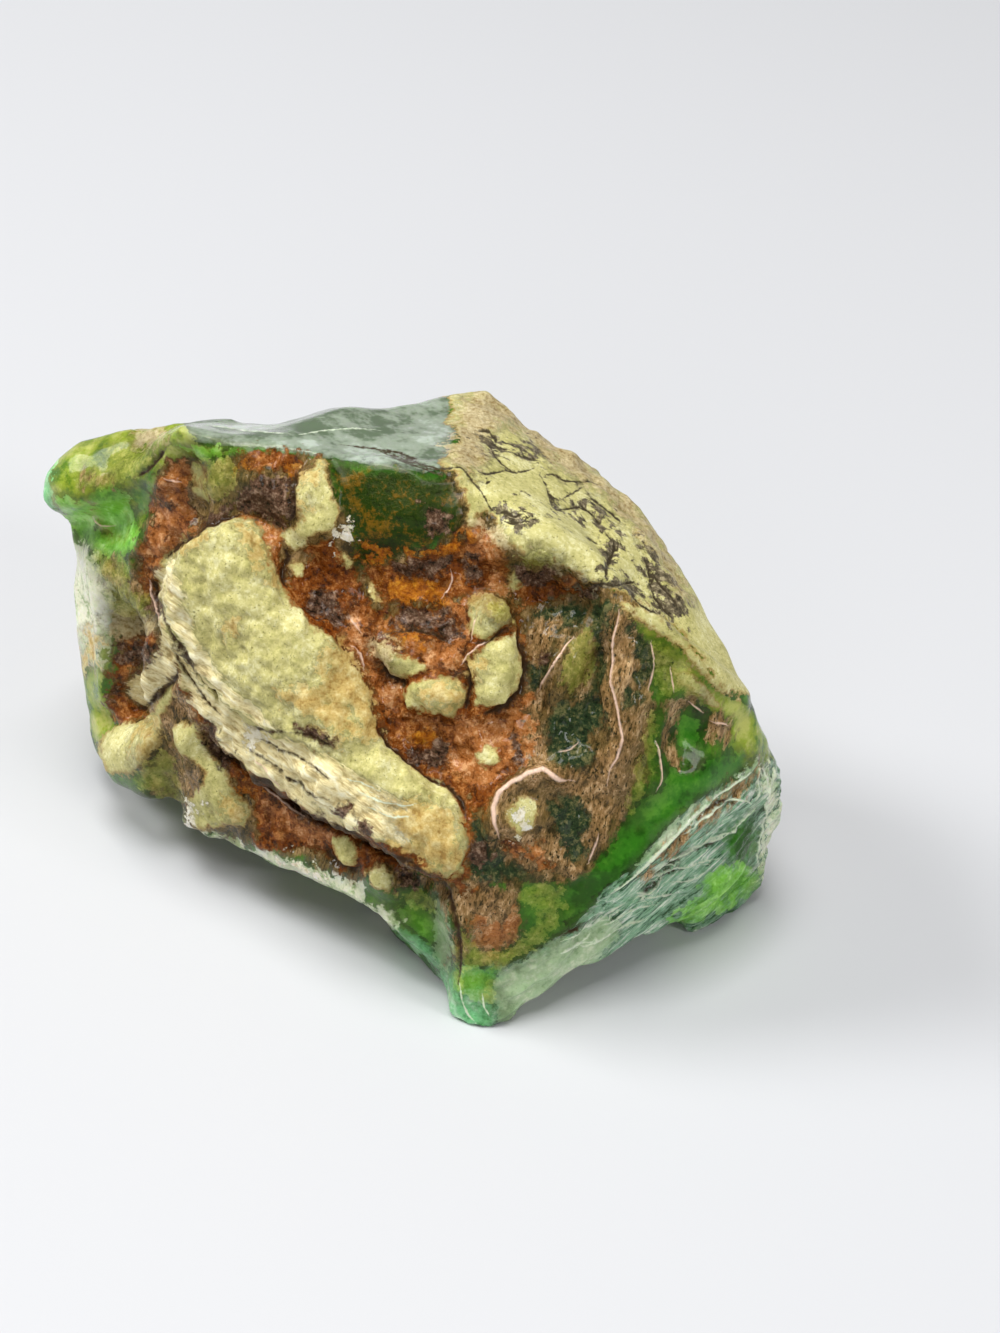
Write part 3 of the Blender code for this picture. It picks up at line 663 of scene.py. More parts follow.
        "second strip of the foot": ((485, 980), (491, 978), (493, 1000), (490, 1010)),
        "dark strip of the foot": ((453, 948), (460, 950), (463, 972), (459, 994), (454, 984)),
        "strip right of the long rib": (
            (646, 706), (656, 716), (656, 752), (646, 790), (632, 812), (626, 800), (645, 745)),
        "olive of the block's hollow": (
            (514, 554), (530, 551), (550, 553), (556, 562), (548, 570), (530, 569)),
        "olive of the top block": ((490, 606), (506, 604), (510, 618), (496, 622)),
    },
    # Painted glints: small white sparkles painted where the wet stone caught the light.
    Finish.CHALK: {
        "painted glint right of the block": ((341, 526), (348, 524), (350, 534), (345, 540)),
        "painted glint of the cream knob": ((516, 818), (524, 816), (524, 828), (517, 830)),
        "painted glint in the groove": ((254, 728), (262, 730), (262, 738), (254, 738)),
        "painted glint of the lower patch": ((188, 808), (194, 812), (196, 828), (190, 824)),
        "painted glint on the left edge": ((284, 860), (292, 858), (304, 868), (320, 876), (306, 874)),
    },
    Finish.DARK: {
        "brown of the slab's corner": (
            (296, 727), (308, 727), (318, 735), (336, 742), (332, 746), (314, 742), (302, 734)),
        "purple-black crust": (
            (250, 479), (262, 472), (285, 475), (292, 486), (293, 505), (290, 521), (280, 526), (245, 509),
            (232, 511), (222, 517), (205, 523), (201, 515), (219, 508), (245, 490)),
        "dark arc": (
            (388, 622), (395, 610), (440, 611), (456, 622), (460, 636), (446, 642), (430, 632), (410, 627),
            (394, 630)),
        "dark line under the dome": ((394, 562), (438, 560), (452, 556), (438, 578), (418, 578), (400, 572)),
        "dark side of the dome": ((424, 506), (440, 504), (450, 516), (448, 532), (432, 536), (422, 524)),
        "dark beside the slab": (
            (304, 600), (320, 590), (340, 600), (350, 616), (344, 626), (326, 624), (310, 614)),
        "dark spot": ((468, 550), (478, 553), (480, 572), (472, 578), (466, 566)),
        # Painted shade: the dark under the overhanging lip stands in for its shadow.
        "painted shade under the lip": ((512, 566), (552, 570), (560, 580), (544, 586), (524, 584)),
        "painted shade at the lip's end": ((580, 592), (592, 584), (604, 586), (596, 594), (584, 598)),
        "dark pit": ((122, 646), (138, 642), (158, 646), (152, 660), (138, 668), (124, 662), (120, 654)),
        "dark left end of the pit": ((108, 694), (114, 686), (120, 692), (114, 700)),
        "dark in the rust trough": ((158, 498), (166, 494), (171, 502), (166, 509), (159, 505)),
        "dark left of the slab": ((152, 600), (158, 594), (163, 606), (162, 620), (156, 614)),
        "dark trough": ((203, 724), (212, 727), (222, 742), (234, 753), (229, 766), (211, 754), (205, 741)),
        "dark crevice of the band": ((298, 804), (312, 808), (326, 818), (318, 822), (304, 816)),
        "dark above the facet": ((396, 872), (410, 866), (420, 874), (410, 888), (396, 890)),
        "black specks in the band": ((334, 813), (338, 804), (348, 804), (351, 814), (343, 818)),
        "more black specks": ((360, 826), (366, 820), (374, 824), (372, 832), (364, 834)),
        "dark round the fleck": (
            (408, 748), (418, 750), (430, 748), (440, 738), (450, 746), (446, 766), (430, 768), (416, 764)),
        "dark right of the faint block": ((511, 738), (520, 742), (520, 764), (512, 768)),
        "dark spot in the clay": ((536, 650), (545, 648), (549, 658), (540, 664)),
        "dark below the slab's end": ((468, 846), (482, 840), (494, 850), (490, 866), (474, 870)),
    },
    Finish.SOOT: {
        "soot of the blotch": ((496, 511), (508, 510), (526, 513), (530, 519), (516, 523), (501, 519)),
        "soot of the main vein": (
            (551, 507), (582, 504), (594, 511), (607, 530), (601, 533), (590, 519), (572, 513), (553, 514)),
        "soot of the grey vein": (
            (606, 540), (620, 541), (617, 556), (611, 570), (604, 578), (600, 568), (605, 554)),
        "soot above the lip": ((586, 584), (604, 580), (622, 583), (640, 582), (638, 594)),
        "soot under the peak": ((482, 442), (494, 443), (502, 452), (492, 454)),
        "grey crust of the face": (
            (640, 552), (652, 558), (664, 578), (676, 600), (680, 622), (666, 618), (653, 600), (645, 580)),
        "brown corner of the face": ((520, 446), (526, 444), (538, 462), (524, 458)),
    },
}

# The lines of each kind. A later one comes over an earlier one.
LINES: dict[Mark, tuple[Line, ...]] = {
    Mark.FILLET: (
        Line("filling of the groove", 1.0, 0.40, (
            (158, 590), (166, 612), (178, 636), (206, 677), (222, 697), (240, 713), (260, 724), (284, 731),
            (304, 732))),
        Line("filling under the band", 1.2, 0.35, (
            (206, 733), (222, 756), (244, 773), (292, 805), (320, 823), (352, 838), (384, 858), (412, 868),
            (436, 882))),
    ),
    Mark.CRACK: (
        Line("groove under the slab", 0.3, -0.18, (
            (163, 600), (168, 616), (178, 634), (212, 686), (224, 698), (252, 721), (268, 727), (296, 731))),
        Line("inner groove", 0.22, -0.15, ((170, 620), (200, 674), (214, 690), (230, 704))),
        Line("second groove", 0.22, -0.18, ((172, 644), (180, 662), (192, 680), (206, 700), (222, 716))),
        Line("third groove", 0.18, -0.15, ((262, 740), (290, 752), (314, 766), (330, 780))),
        Line("fourth groove", 0.16, -0.12, ((250, 748), (310, 790), (326, 798))),
        Line("crack right of the groove", 0.22, -0.12, ((290, 730), (304, 733), (318, 740), (334, 747))),
        Line("crack under the band", 0.35, -0.2, (
            (206, 727), (216, 744), (230, 757), (308, 810), (326, 820), (346, 828), (364, 838), (380, 850),
            (416, 864), (432, 874), (444, 888))),
        Line("crack above the slab", 0.45, -0.4, ((164, 560), (204, 525), (222, 516), (246, 513))),
        Line("crack left of the slab", 0.35, -0.3, ((152, 578), (156, 592), (160, 618))),
        Line("edge of the foot column", 0.35, -0.3, (
            (436, 872), (446, 890), (453, 908), (458, 928), (460, 952), (458, 985))),
        Line("round the pebble", 0.35, -0.3, ((325, 842), (329, 856), (338, 866), (350, 872), (362, 866))),
        Line("right of the lump", 0.35, -0.3, ((158, 698), (172, 682), (178, 672))),
        Line("over the lump", 0.3, -0.25, ((134, 708), (146, 708), (154, 700), (158, 690))),
        Line("left of the knob's fold", 0.3, -0.3, ((166, 448), (146, 470), (134, 478))),
        Line("right of the blocks", 0.5, -0.45, (
            (519, 626), (524, 645), (526, 664), (523, 690), (512, 706), (496, 714), (478, 714))),
        Line("between the blocks", 0.3, -0.3, ((472, 642), (484, 643), (510, 626))),
        Line("left of the right block", 0.3, -0.3, ((466, 660), (470, 676), (469, 696), (466, 712))),
        Line("under the left block", 0.35, -0.3, ((376, 660), (386, 676), (400, 684), (404, 690))),
        Line("left of the block by the crust", 0.35, -0.3, ((296, 470), (292, 486), (293, 506), (290, 524))),
        Line("left wall of the rust chunk", 0.4, -0.35, ((284, 548), (290, 558), (284, 572), (286, 590))),
        Line("under the dark arc", 0.3, -0.25, ((392, 632), (412, 628), (434, 634), (452, 644))),
        Line("slab's right edge", 0.4, -0.3, (
            (374, 718), (384, 738), (398, 752), (430, 778), (448, 786), (462, 802), (468, 826))),
        Line("groove between fibres", 0.20, -0.15, ((650, 878), (686, 854), (722, 836))),
        Line("second groove between fibres", 0.20, -0.15, ((640, 896), (664, 874), (684, 868))),
        Line("third groove between fibres", 0.18, -0.12, ((560, 936), (584, 925), (602, 912))),
        Line("groove under the crest", 0.18, -0.12, ((704, 812), (722, 800), (738, 805))),
    ),
    Mark.VEIN: (
        Line("vein from the top face", 0.21, -0.10, (
            (394, 452), (410, 460), (446, 469), (460, 468), (478, 488), (491, 509), (498, 516))),
        Line("second vein from the top face", 0.19, -0.08, ((376, 450), (440, 474), (450, 475))),
        Line("third vein from the top face", 0.19, -0.05, ((340, 444), (398, 452), (420, 460))),
        Line("vein blotch", 0.3, -0.10, ((498, 513), (506, 513), (514, 517), (524, 515))),
        Line("vein under the blotch", 0.21, -0.08, ((500, 519), (510, 524), (520, 524), (530, 518))),
        Line("vein across", 0.23, -0.10, (
            (476, 472), (486, 475), (506, 471), (516, 473), (528, 471), (538, 467))),
        Line("vein down", 0.19, -0.08, ((489, 447), (494, 457), (501, 465), (509, 470), (518, 473))),
        Line("upper vein", 0.25, -0.08, ((484, 445), (492, 446), (508, 452))),
        Line("vein above it", 0.21, -0.05, ((476, 431), (488, 433), (496, 442), (492, 447))),
        Line("vein to the corner", 0.27, -0.08, ((512, 455), (538, 462))),
        Line("vein to the crest", 0.23, -0.08, ((540, 477), (552, 475), (564, 482), (578, 482), (598, 486))),
        Line("dot in the vein", 0.27, -0.08, ((485, 484), (490, 482))),
        Line("spots by the crest", 0.24, -0.05, ((546, 487), (549, 497), (557, 501))),
        Line("more spots", 0.24, -0.05, ((563, 499), (581, 489))),
        Line("main vein", 0.27, -0.16, ((551, 511), (580, 507), (588, 511), (595, 518), (604, 532))),
        Line("vein right of the main one", 0.27, -0.08, ((588, 498), (607, 511), (619, 523))),
        Line("hair vein", 0.19, -0.06, ((584, 537), (598, 546))),
        Line("grey vein", 0.37, -0.22, ((612, 540), (615, 548), (607, 566), (606, 578))),
        Line("down from the crest", 0.19, -0.06, ((540, 478), (546, 488), (552, 511))),
        Line("vein to the grey vein", 0.21, -0.08, ((603, 531), (612, 542))),
        Line("vein below the grey vein", 0.21, -0.08, ((606, 576), (602, 582), (594, 588))),
        Line("spot right of it", 0.19, -0.08, ((620, 543), (624, 552))),
        Line("vein to the shoulder", 0.24, -0.16, (
            (588, 590), (600, 583), (612, 586), (634, 582), (637, 590))),
        Line("vein down the rim", 0.2, -0.12, ((628, 590), (636, 600), (648, 610), (660, 616))),
        Line("right grey vein", 0.24, -0.15, ((642, 556), (648, 568), (650, 584), (654, 598), (674, 622))),
        Line("veins of the right grey crust", 0.27, -0.10, ((650, 570), (658, 584), (668, 594), (676, 606))),
    ),
    # Ribs are raised ridges whose pale cores are partly painted highlights; the lines in the knob and right
    # of the ring are mostly painted glints.
    Mark.RIB: (
        Line("long rib", 0.3, 0.40, (
            (620, 610), (616, 636), (617, 660), (615, 684), (621, 736), (617, 756), (610, 770), (607, 784))),
        Line("short rib", 0.27, 0.35, ((572, 637), (554, 668), (538, 691))),
        Line("curled rib", 0.56, 0.50, (
            (574, 781), (558, 778), (543, 771), (528, 774), (512, 783), (502, 794), (496, 808), (496, 822),
            (499, 838))),
        Line("strip rib", 0.24, 0.28, ((656, 742), (660, 776), (657, 790))),
        Line("rib on the moss", 0.22, 0.22, ((651, 642), (654, 660), (648, 690))),
        Line("short ridge of the shoulder", 0.18, 0.2, ((670, 668), (674, 692))),
        Line("low rib", 0.22, 0.25, ((598, 834), (588, 862))),
        Line("rib in the rust", 0.24, 0.30, ((451, 570), (453, 580), (449, 592), (442, 598))),
        Line("rib under the band", 0.27, 0.35, ((254, 775), (278, 795), (307, 816))),
        Line("ridge on the band", 0.18, 0.2, ((256, 759), (267, 765), (276, 775), (282, 787))),
        Line("rib left of the slab", 0.18, 0.25, ((150, 580), (152, 596), (163, 624), (166, 640))),
        Line("rib over the ring", 0.22, 0.22, ((690, 703), (696, 706), (702, 712))),
        Line("glint ridge right of the ring", 0.3, 0.25, ((711, 721), (720, 722), (728, 726))),
        Line("highlight ridge in the knob", 0.22, 0.2, ((94, 518), (102, 525), (114, 526))),
        Line("rib in the trough", 0.18, 0.2, ((165, 478), (180, 481))),
        Line("glint by the upper block", 0.22, 0.2, ((472, 640), (476, 630), (478, 618))),
        Line("glint by the right block", 0.24, 0.2, ((462, 664), (468, 656), (486, 641))),
        Line("glint in the middle", 0.24, 0.22, ((350, 618), (362, 632))),
        Line("glint beside the slab", 0.22, 0.2, ((352, 646), (360, 654), (364, 668))),
        Line("glint in the moss", 0.18, 0.15, ((560, 752), (570, 750), (577, 744))),
    ),
    Mark.FEATHER: (
        # The streaks on the band are painted highlights, drawn as pale lines.
        Line("painted highlight on the band", 0.16, 0.1, ((356, 790), (390, 803), (404, 806), (416, 804))),
        Line("second painted highlight on the band", 0.14, 0.1, ((366, 806), (394, 816), (408, 816))),
        Line("third painted highlight on the band", 0.12, 0.08, ((344, 778), (362, 782), (380, 790))),
        Line("crest of the fibres", 0.24, 0.20, ((598, 904), (656, 852), (710, 800), (758, 764))),
        Line("fibre over the brown streak", 0.18, 0.15, (
            (684, 834), (700, 819), (716, 807), (732, 799), (746, 800), (754, 806))),
        Line("fibre under the brown streak", 0.18, 0.15, (
            (690, 850), (708, 838), (724, 832), (735, 832), (738, 822), (745, 814), (754, 808))),
        Line("second fibre", 0.17, 0.15, ((652, 872), (664, 863), (680, 858), (706, 842), (736, 832))),
        Line("third fibre", 0.17, 0.14, ((640, 885), (672, 868), (690, 866), (718, 858))),
        Line("fourth fibre", 0.15, 0.14, ((668, 882), (684, 881), (698, 877), (708, 868))),
        Line("fifth fibre", 0.18, 0.15, ((630, 893), (646, 893), (656, 886), (662, 874))),
        Line("sixth fibre", 0.15, 0.12, ((638, 900), (674, 893))),
        Line("seventh fibre", 0.17, 0.14, ((562, 940), (612, 912), (624, 904), (636, 892))),
        Line("eighth fibre", 0.15, 0.12, ((576, 950), (630, 922), (646, 916))),
        Line("ninth fibre", 0.15, 0.12, ((600, 926), (636, 908), (656, 904))),
        Line("tenth fibre", 0.15, 0.12, ((560, 956), (580, 944), (592, 934))),
        Line("right end's fibre", 0.21, 0.15, ((762, 764), (767, 786), (765, 812), (759, 840), (756, 868))),
        Line("second right fibre", 0.15, 0.12, ((757, 768), (759, 788), (753, 802))),
        # The streaks in the foot are painted glints on its glassy face.
        Line("painted glint in the foot", 0.15, 0.08, ((460, 984), (462, 1000), (468, 1014), (476, 1022))),
        Line("second painted glint in the foot", 0.14, 0.08, ((482, 992), (484, 1006), (490, 1016))),
        Line("wave of the top", 0.07, 0.05, ((208, 425), (252, 432), (290, 433))),
        Line("second wave", 0.07, 0.05, ((300, 434), (330, 430), (356, 428), (380, 430))),
    ),
}


@dataclass(frozen=True)
class Stretch:
    """A direction along which a grain is drawn out, and how many times longer it is that way."""

    along: tuple[float, float, float]
    times: float

    def frame(self) -> Matrix:
        """Gives the turn whose first axis lies along the grain."""
        return Vector(self.along).to_track_quat("X", "Z").to_matrix()

    def squeeze(self, points: np.ndarray) -> np.ndarray:
        """Shortens points along the grain, so that even noise there comes out drawn out.

        Args:
            points: One row of millimetres for each point.

        Returns:
            The points in the grain's own axes, one row each.
        """
        turned = points @ np.array(self.frame())
        turned[:, 0] /= self.times
        return turned


@dataclass(frozen=True)
class Coat:
    """How one finish is coloured and how rough it is, with its sizes in millimetres.

    Ragged is how far its edge wanders, softness is half the width of its blend, and tooth is the height of
    its grain. Fine is the share of its mottling that is fine grain, and the rim is the stain just inside its
    edge. Wet is the weight of the clear film over it, and lift and swell raise the skin itself.
    """

    finish: Finish
    low: Colour
    middle: Colour
    high: Colour
    grain: float
    ragged: float
    softness: float
    roughness: float
    tooth: float
    fine: float = 0.45
    rim: Colour = (0.0, 0.0, 0.0)
    rim_width: float = 0.0
    speck: float = 0.0
    speck_colour: Colour = (0.02, 0.012, 0.006)
    lift: float = 0.0
    swell: float = 0.0
    swell_grain: float = 1.5
    wet: float = 0.15
    stretch: Stretch | None = None


FIBRES = Stretch(along=(15.0, 11.0, 10.0), times=9.0)
BRUSHING = Stretch(along=(18.0, -11.2, -5.3), times=9.0)
DRAINING = Stretch(along=(-2.0, -10.0, -12.0), times=2.2)

BODY = Coat(
    Finish.BODY, low=(0.010, 0.045, 0.004), middle=(0.028, 0.125, 0.007), high=(0.09, 0.24, 0.014),
    grain=3.2, ragged=0.0, softness=0.1, roughness=0.2, tooth=0.02, fine=0.15, speck=0.05,
    speck_colour=(0.02, 0.025, 0.005), swell=0.05, swell_grain=2.5)

COATS: tuple[Coat, ...] = (
    # Glossy green top face with a painted reflection mixed in: its pale grey tones are painted sheen, not the
    # stone's own colour.
    Coat(Finish.GLOSS, low=(0.12, 0.16, 0.10), middle=(0.29, 0.34, 0.26), high=(0.48, 0.54, 0.46),
         grain=4.0, ragged=0.2, softness=0.25, roughness=0.14, tooth=0.008, fine=0.1, speck=0.03,
         speck_colour=(0.06, 0.07, 0.03), swell=0.05, swell_grain=3.0, wet=0.3),
    Coat(Finish.EARTH, low=(0.045, 0.030, 0.008), middle=(0.19, 0.115, 0.035), high=(0.46, 0.29, 0.12),
         grain=1.3, ragged=1.0, softness=0.4, roughness=0.2, tooth=0.12, fine=0.45, speck=0.13,
         speck_colour=(0.010, 0.014, 0.003), swell=0.22, swell_grain=1.0, stretch=DRAINING, wet=0.2),
    Coat(Finish.FIBRE, low=(0.02, 0.085, 0.035), middle=(0.285, 0.51, 0.325), high=(0.88, 0.95, 0.8),
         grain=0.8, ragged=0.4, softness=0.3, roughness=0.28, tooth=0.16, fine=0.62, speck=0.03,
         speck_colour=(0.20, 0.10, 0.02), swell=0.30, swell_grain=0.8, stretch=FIBRES),
    Coat(Finish.MOSS, low=(0.005, 0.016, 0.006), middle=(0.020, 0.045, 0.016), high=(0.17, 0.16, 0.06),
         grain=0.9, ragged=0.9, softness=0.4, roughness=0.16, tooth=0.12, fine=0.6, speck=0.08,
         speck_colour=(0.004, 0.005, 0.001), swell=0.18, swell_grain=0.9, wet=0.22),
    Coat(Finish.LIME, low=(0.10, 0.20, 0.008), middle=(0.29, 0.37, 0.03), high=(0.50, 0.52, 0.13),
         grain=2.2, ragged=0.5, softness=0.8, roughness=0.16, tooth=0.035, fine=0.15, speck=0.04,
         speck_colour=(0.22, 0.12, 0.015), swell=0.08, swell_grain=1.8),
    Coat(Finish.MINT, low=(0.09, 0.36, 0.12), middle=(0.24, 0.69, 0.3), high=(0.58, 0.94, 0.6),
         grain=1.8, ragged=0.5, softness=1.0, roughness=0.16, tooth=0.02, fine=0.2, swell=0.08),
    Coat(Finish.LEAF, low=(0.012, 0.085, 0.004), middle=(0.034, 0.18, 0.01), high=(0.09, 0.3, 0.022),
         grain=2.6, ragged=0.6, softness=0.8, roughness=0.17, tooth=0.015, fine=0.12, swell=0.05),
    # Apple green of the stone; its bright tones partly stand in for light on the shaded underside of the
    # knob.
    Coat(Finish.APPLE, low=(0.08, 0.3, 0.012), middle=(0.19, 0.52, 0.045), high=(0.38, 0.74, 0.17),
         grain=1.8, ragged=0.7, softness=0.9, roughness=0.16, tooth=0.03, fine=0.15, swell=0.06),
    Coat(Finish.OLIVE, low=(0.003, 0.012, 0.0003), middle=(0.010, 0.032, 0.0005), high=(0.16, 0.08, 0.004),
         grain=1.8, ragged=0.7, softness=0.6, roughness=0.18, tooth=0.04, fine=0.45, speck=0.08,
         speck_colour=(0.010, 0.012, 0.001), swell=0.06, wet=0.05),
    # Pale rind; its near-white tones are raised partly as painted light for the shaded left rim.
    Coat(Finish.PALE, low=(0.38, 0.48, 0.22), middle=(0.9, 0.9, 0.66), high=(0.96, 0.96, 0.84),
         grain=2.2, ragged=0.9, softness=1.3, roughness=0.22, tooth=0.03, fine=0.35, speck=0.04,
         speck_colour=(0.36, 0.30, 0.10), swell=0.08, wet=0.2),
    Coat(Finish.SAGE, low=(0.24, 0.36, 0.18), middle=(0.40, 0.54, 0.31), high=(0.62, 0.70, 0.48),
         grain=2.4, ragged=0.5, softness=0.8, roughness=0.18, tooth=0.02, fine=0.2, speck=0.02,
         speck_colour=(0.20, 0.22, 0.08), swell=0.05, wet=0.25),
    Coat(Finish.CLAY, low=(0.07, 0.04, 0.012), middle=(0.29, 0.162, 0.06), high=(0.64, 0.42, 0.215),
         grain=1.3, ragged=1.2, softness=0.6, roughness=0.2, tooth=0.08, fine=0.6, speck=0.15,
         speck_colour=(0.02, 0.014, 0.003), swell=0.18, swell_grain=0.9, stretch=DRAINING, wet=0.2),
    Coat(Finish.RUST, low=(0.05, 0.008, 0.001), middle=(0.21, 0.048, 0.004), high=(0.52, 0.21, 0.055),
         grain=1.3, ragged=0.9, softness=0.2, roughness=0.22, tooth=0.09, fine=0.45,
         rim=(0.10, 0.045, 0.004), rim_width=0.4, speck=0.08, speck_colour=(0.03, 0.008, 0.002),
         swell=0.24, swell_grain=0.9, wet=0.12),
    Coat(Finish.SIENNA, low=(0.17, 0.042, 0.006), middle=(0.42, 0.145, 0.035), high=(0.72, 0.38, 0.17),
         grain=1.1, ragged=1.2, softness=0.7, roughness=0.16, tooth=0.08, fine=0.45, speck=0.06,
         speck_colour=(0.05, 0.012, 0.003), wet=0.2),
    Coat(Finish.ORANGE, low=(0.20, 0.045, 0.002), middle=(0.38, 0.11, 0.005), high=(0.58, 0.24, 0.018),
         grain=0.6, ragged=1.2, softness=0.5, roughness=0.3, tooth=0.06, fine=0.6, wet=0.05),
    Coat(Finish.RIND, low=(0.44, 0.41, 0.14), middle=(0.6, 0.55, 0.22), high=(0.76, 0.72, 0.38),
         grain=2.2, ragged=0.5, softness=0.12, roughness=0.45, tooth=0.02, fine=0.55,
         rim=(0.34, 0.19, 0.05), rim_width=0.3, speck=0.11, speck_colour=(0.24, 0.22, 0.07),
         lift=0.12, swell=0.03, swell_grain=2.2, wet=0.03),
    Coat(Finish.STREAK, low=(0.50, 0.38, 0.17), middle=(0.80, 0.69, 0.37), high=(0.98, 0.92, 0.64),
         grain=0.5, ragged=0.7, softness=0.6, roughness=0.4, tooth=0.09, fine=0.6, swell=0.08,
         swell_grain=0.45, stretch=BRUSHING, wet=0.03),
    Coat(Finish.STAIN, low=(0.34, 0.20, 0.05), middle=(0.53, 0.37, 0.12), high=(0.69, 0.56, 0.25),
         grain=1.2, ragged=1.2, softness=0.9, roughness=0.42, tooth=0.04, fine=0.5, wet=0.03),
    Coat(Finish.TAN, low=(0.28, 0.19, 0.07), middle=(0.5, 0.4, 0.21), high=(0.68, 0.58, 0.34),
         grain=1.6, ragged=1.1, softness=0.8, roughness=0.4, tooth=0.06, fine=0.7, speck=0.05,
         speck_colour=(0.12, 0.08, 0.03), swell=0.3, swell_grain=2.0, wet=0.06),
    Coat(Finish.FERN, low=(0.06, 0.075, 0.008), middle=(0.2, 0.225, 0.032), high=(0.42, 0.4, 0.1),
         grain=1.5, ragged=0.6, softness=2.2, roughness=0.2, tooth=0.05, fine=0.45, speck=0.08,
         speck_colour=(0.015, 0.016, 0.002), swell=0.06),
    # White painted glints, not a mineral of the stone.
    Coat(Finish.CHALK, low=(0.68, 0.60, 0.38), middle=(0.88, 0.82, 0.64), high=(0.97, 0.94, 0.84),
         grain=0.5, ragged=1.8, softness=0.25, roughness=0.25, tooth=0.08, fine=0.5, wet=0.2),
    Coat(Finish.DARK, low=(0.014, 0.007, 0.004), middle=(0.11, 0.052, 0.030), high=(0.36, 0.23, 0.15),
         grain=0.55, ragged=1.0, softness=0.3, roughness=0.2, tooth=0.16, fine=0.5, swell=0.16,
         swell_grain=0.8, wet=0.12),
    Coat(Finish.SOOT, low=(0.04, 0.033, 0.02), middle=(0.14, 0.11, 0.065), high=(0.44, 0.37, 0.22),
         grain=0.4, ragged=1.8, softness=0.25, roughness=0.4, tooth=0.08, fine=0.5),
)


@dataclass(frozen=True)
class Inlay:
    """How every line of one kind is coloured, from its rough edge to its middle."""

    mark: Mark
    colour: Colour
    ragged: float
    softness: float
    roughness: float


INLAYS: tuple[Inlay, ...] = (
    Inlay(Mark.CRACK, (0.035, 0.013, 0.005), ragged=0.3, softness=0.12, roughness=0.4),
    Inlay(Mark.VEIN, (0.055, 0.040, 0.022), ragged=0.20, softness=0.05, roughness=0.4),
    # Pale lines are partly the stone's own pale fibres and partly painted highlights and glints.
    Inlay(Mark.FEATHER, (0.72, 0.80, 0.60), ragged=0.12, softness=0.05, roughness=0.2),
    # A rib's pale pink core is partly its own colour and partly a painted highlight along its wet crest.
    Inlay(Mark.RIB, (0.86, 0.60, 0.46), ragged=0.06, softness=0.06, roughness=0.1),
)


@dataclass(frozen=True)
class Scatter:
    """Where one finish comes on the sides that no outline reaches.

    Level is the noise above which the finish starts, and reach turns the rest of it into millimetres.
    """

    finish: Finish
    grain: float
    level: float
    reach: float
    drift: float
    underside: float = 0.0


MARK_PARTS = ("gap", "across", "width")
OPAQUE = (Finish.EARTH, Finish.MOSS, Finish.CLAY, Finish.RUST, Finish.SIENNA, Finish.RIND, Finish.DARK)

SCATTERS: tuple[Scatter, ...] = (
    Scatter(Finish.EARTH, grain=12.0, level=-0.16, reach=9.0, drift=3.1, underside=-3.0),
    Scatter(Finish.MOSS, grain=8.0, level=0.30, reach=7.0, drift=47.7),
    Scatter(Finish.LIME, grain=10.0, level=0.16, reach=8.0, drift=31.9),
    Scatter(Finish.LEAF, grain=9.0, level=0.20, reach=8.0, drift=39.1),
    Scatter(Finish.APPLE, grain=8.0, level=0.24, reach=7.0, drift=23.3),
    Scatter(Finish.CLAY, grain=12.0, level=-0.02, reach=8.0, drift=3.1, underside=-4.0),
    Scatter(Finish.RUST, grain=7.0, level=0.24, reach=7.0, drift=17.3, underside=-2.0),
    Scatter(Finish.RIND, grain=12.0, level=0.07, reach=9.0, drift=3.1, underside=-5.0),
    Scatter(Finish.STAIN, grain=5.0, level=0.18, reach=5.0, drift=53.3),
    Scatter(Finish.TAN, grain=7.0, level=0.32, reach=6.0, drift=83.9, underside=-2.0),
    Scatter(Finish.FERN, grain=9.0, level=0.32, reach=7.0, drift=91.7),
    Scatter(Finish.DARK, grain=5.0, level=0.50, reach=4.0, drift=61.1),
)


@dataclass
class MarkLayers:
    """Where each point is across the nearest line of one kind, in millimetres.

    The gap is never below 0. Across is the same length with a sign for the side, which stays exact between
    two vertices on either side of a thin line. Width is half the coloured width, and height the lift.
    """

    gap: np.ndarray
    across: np.ndarray
    width: np.ndarray
    height: np.ndarray


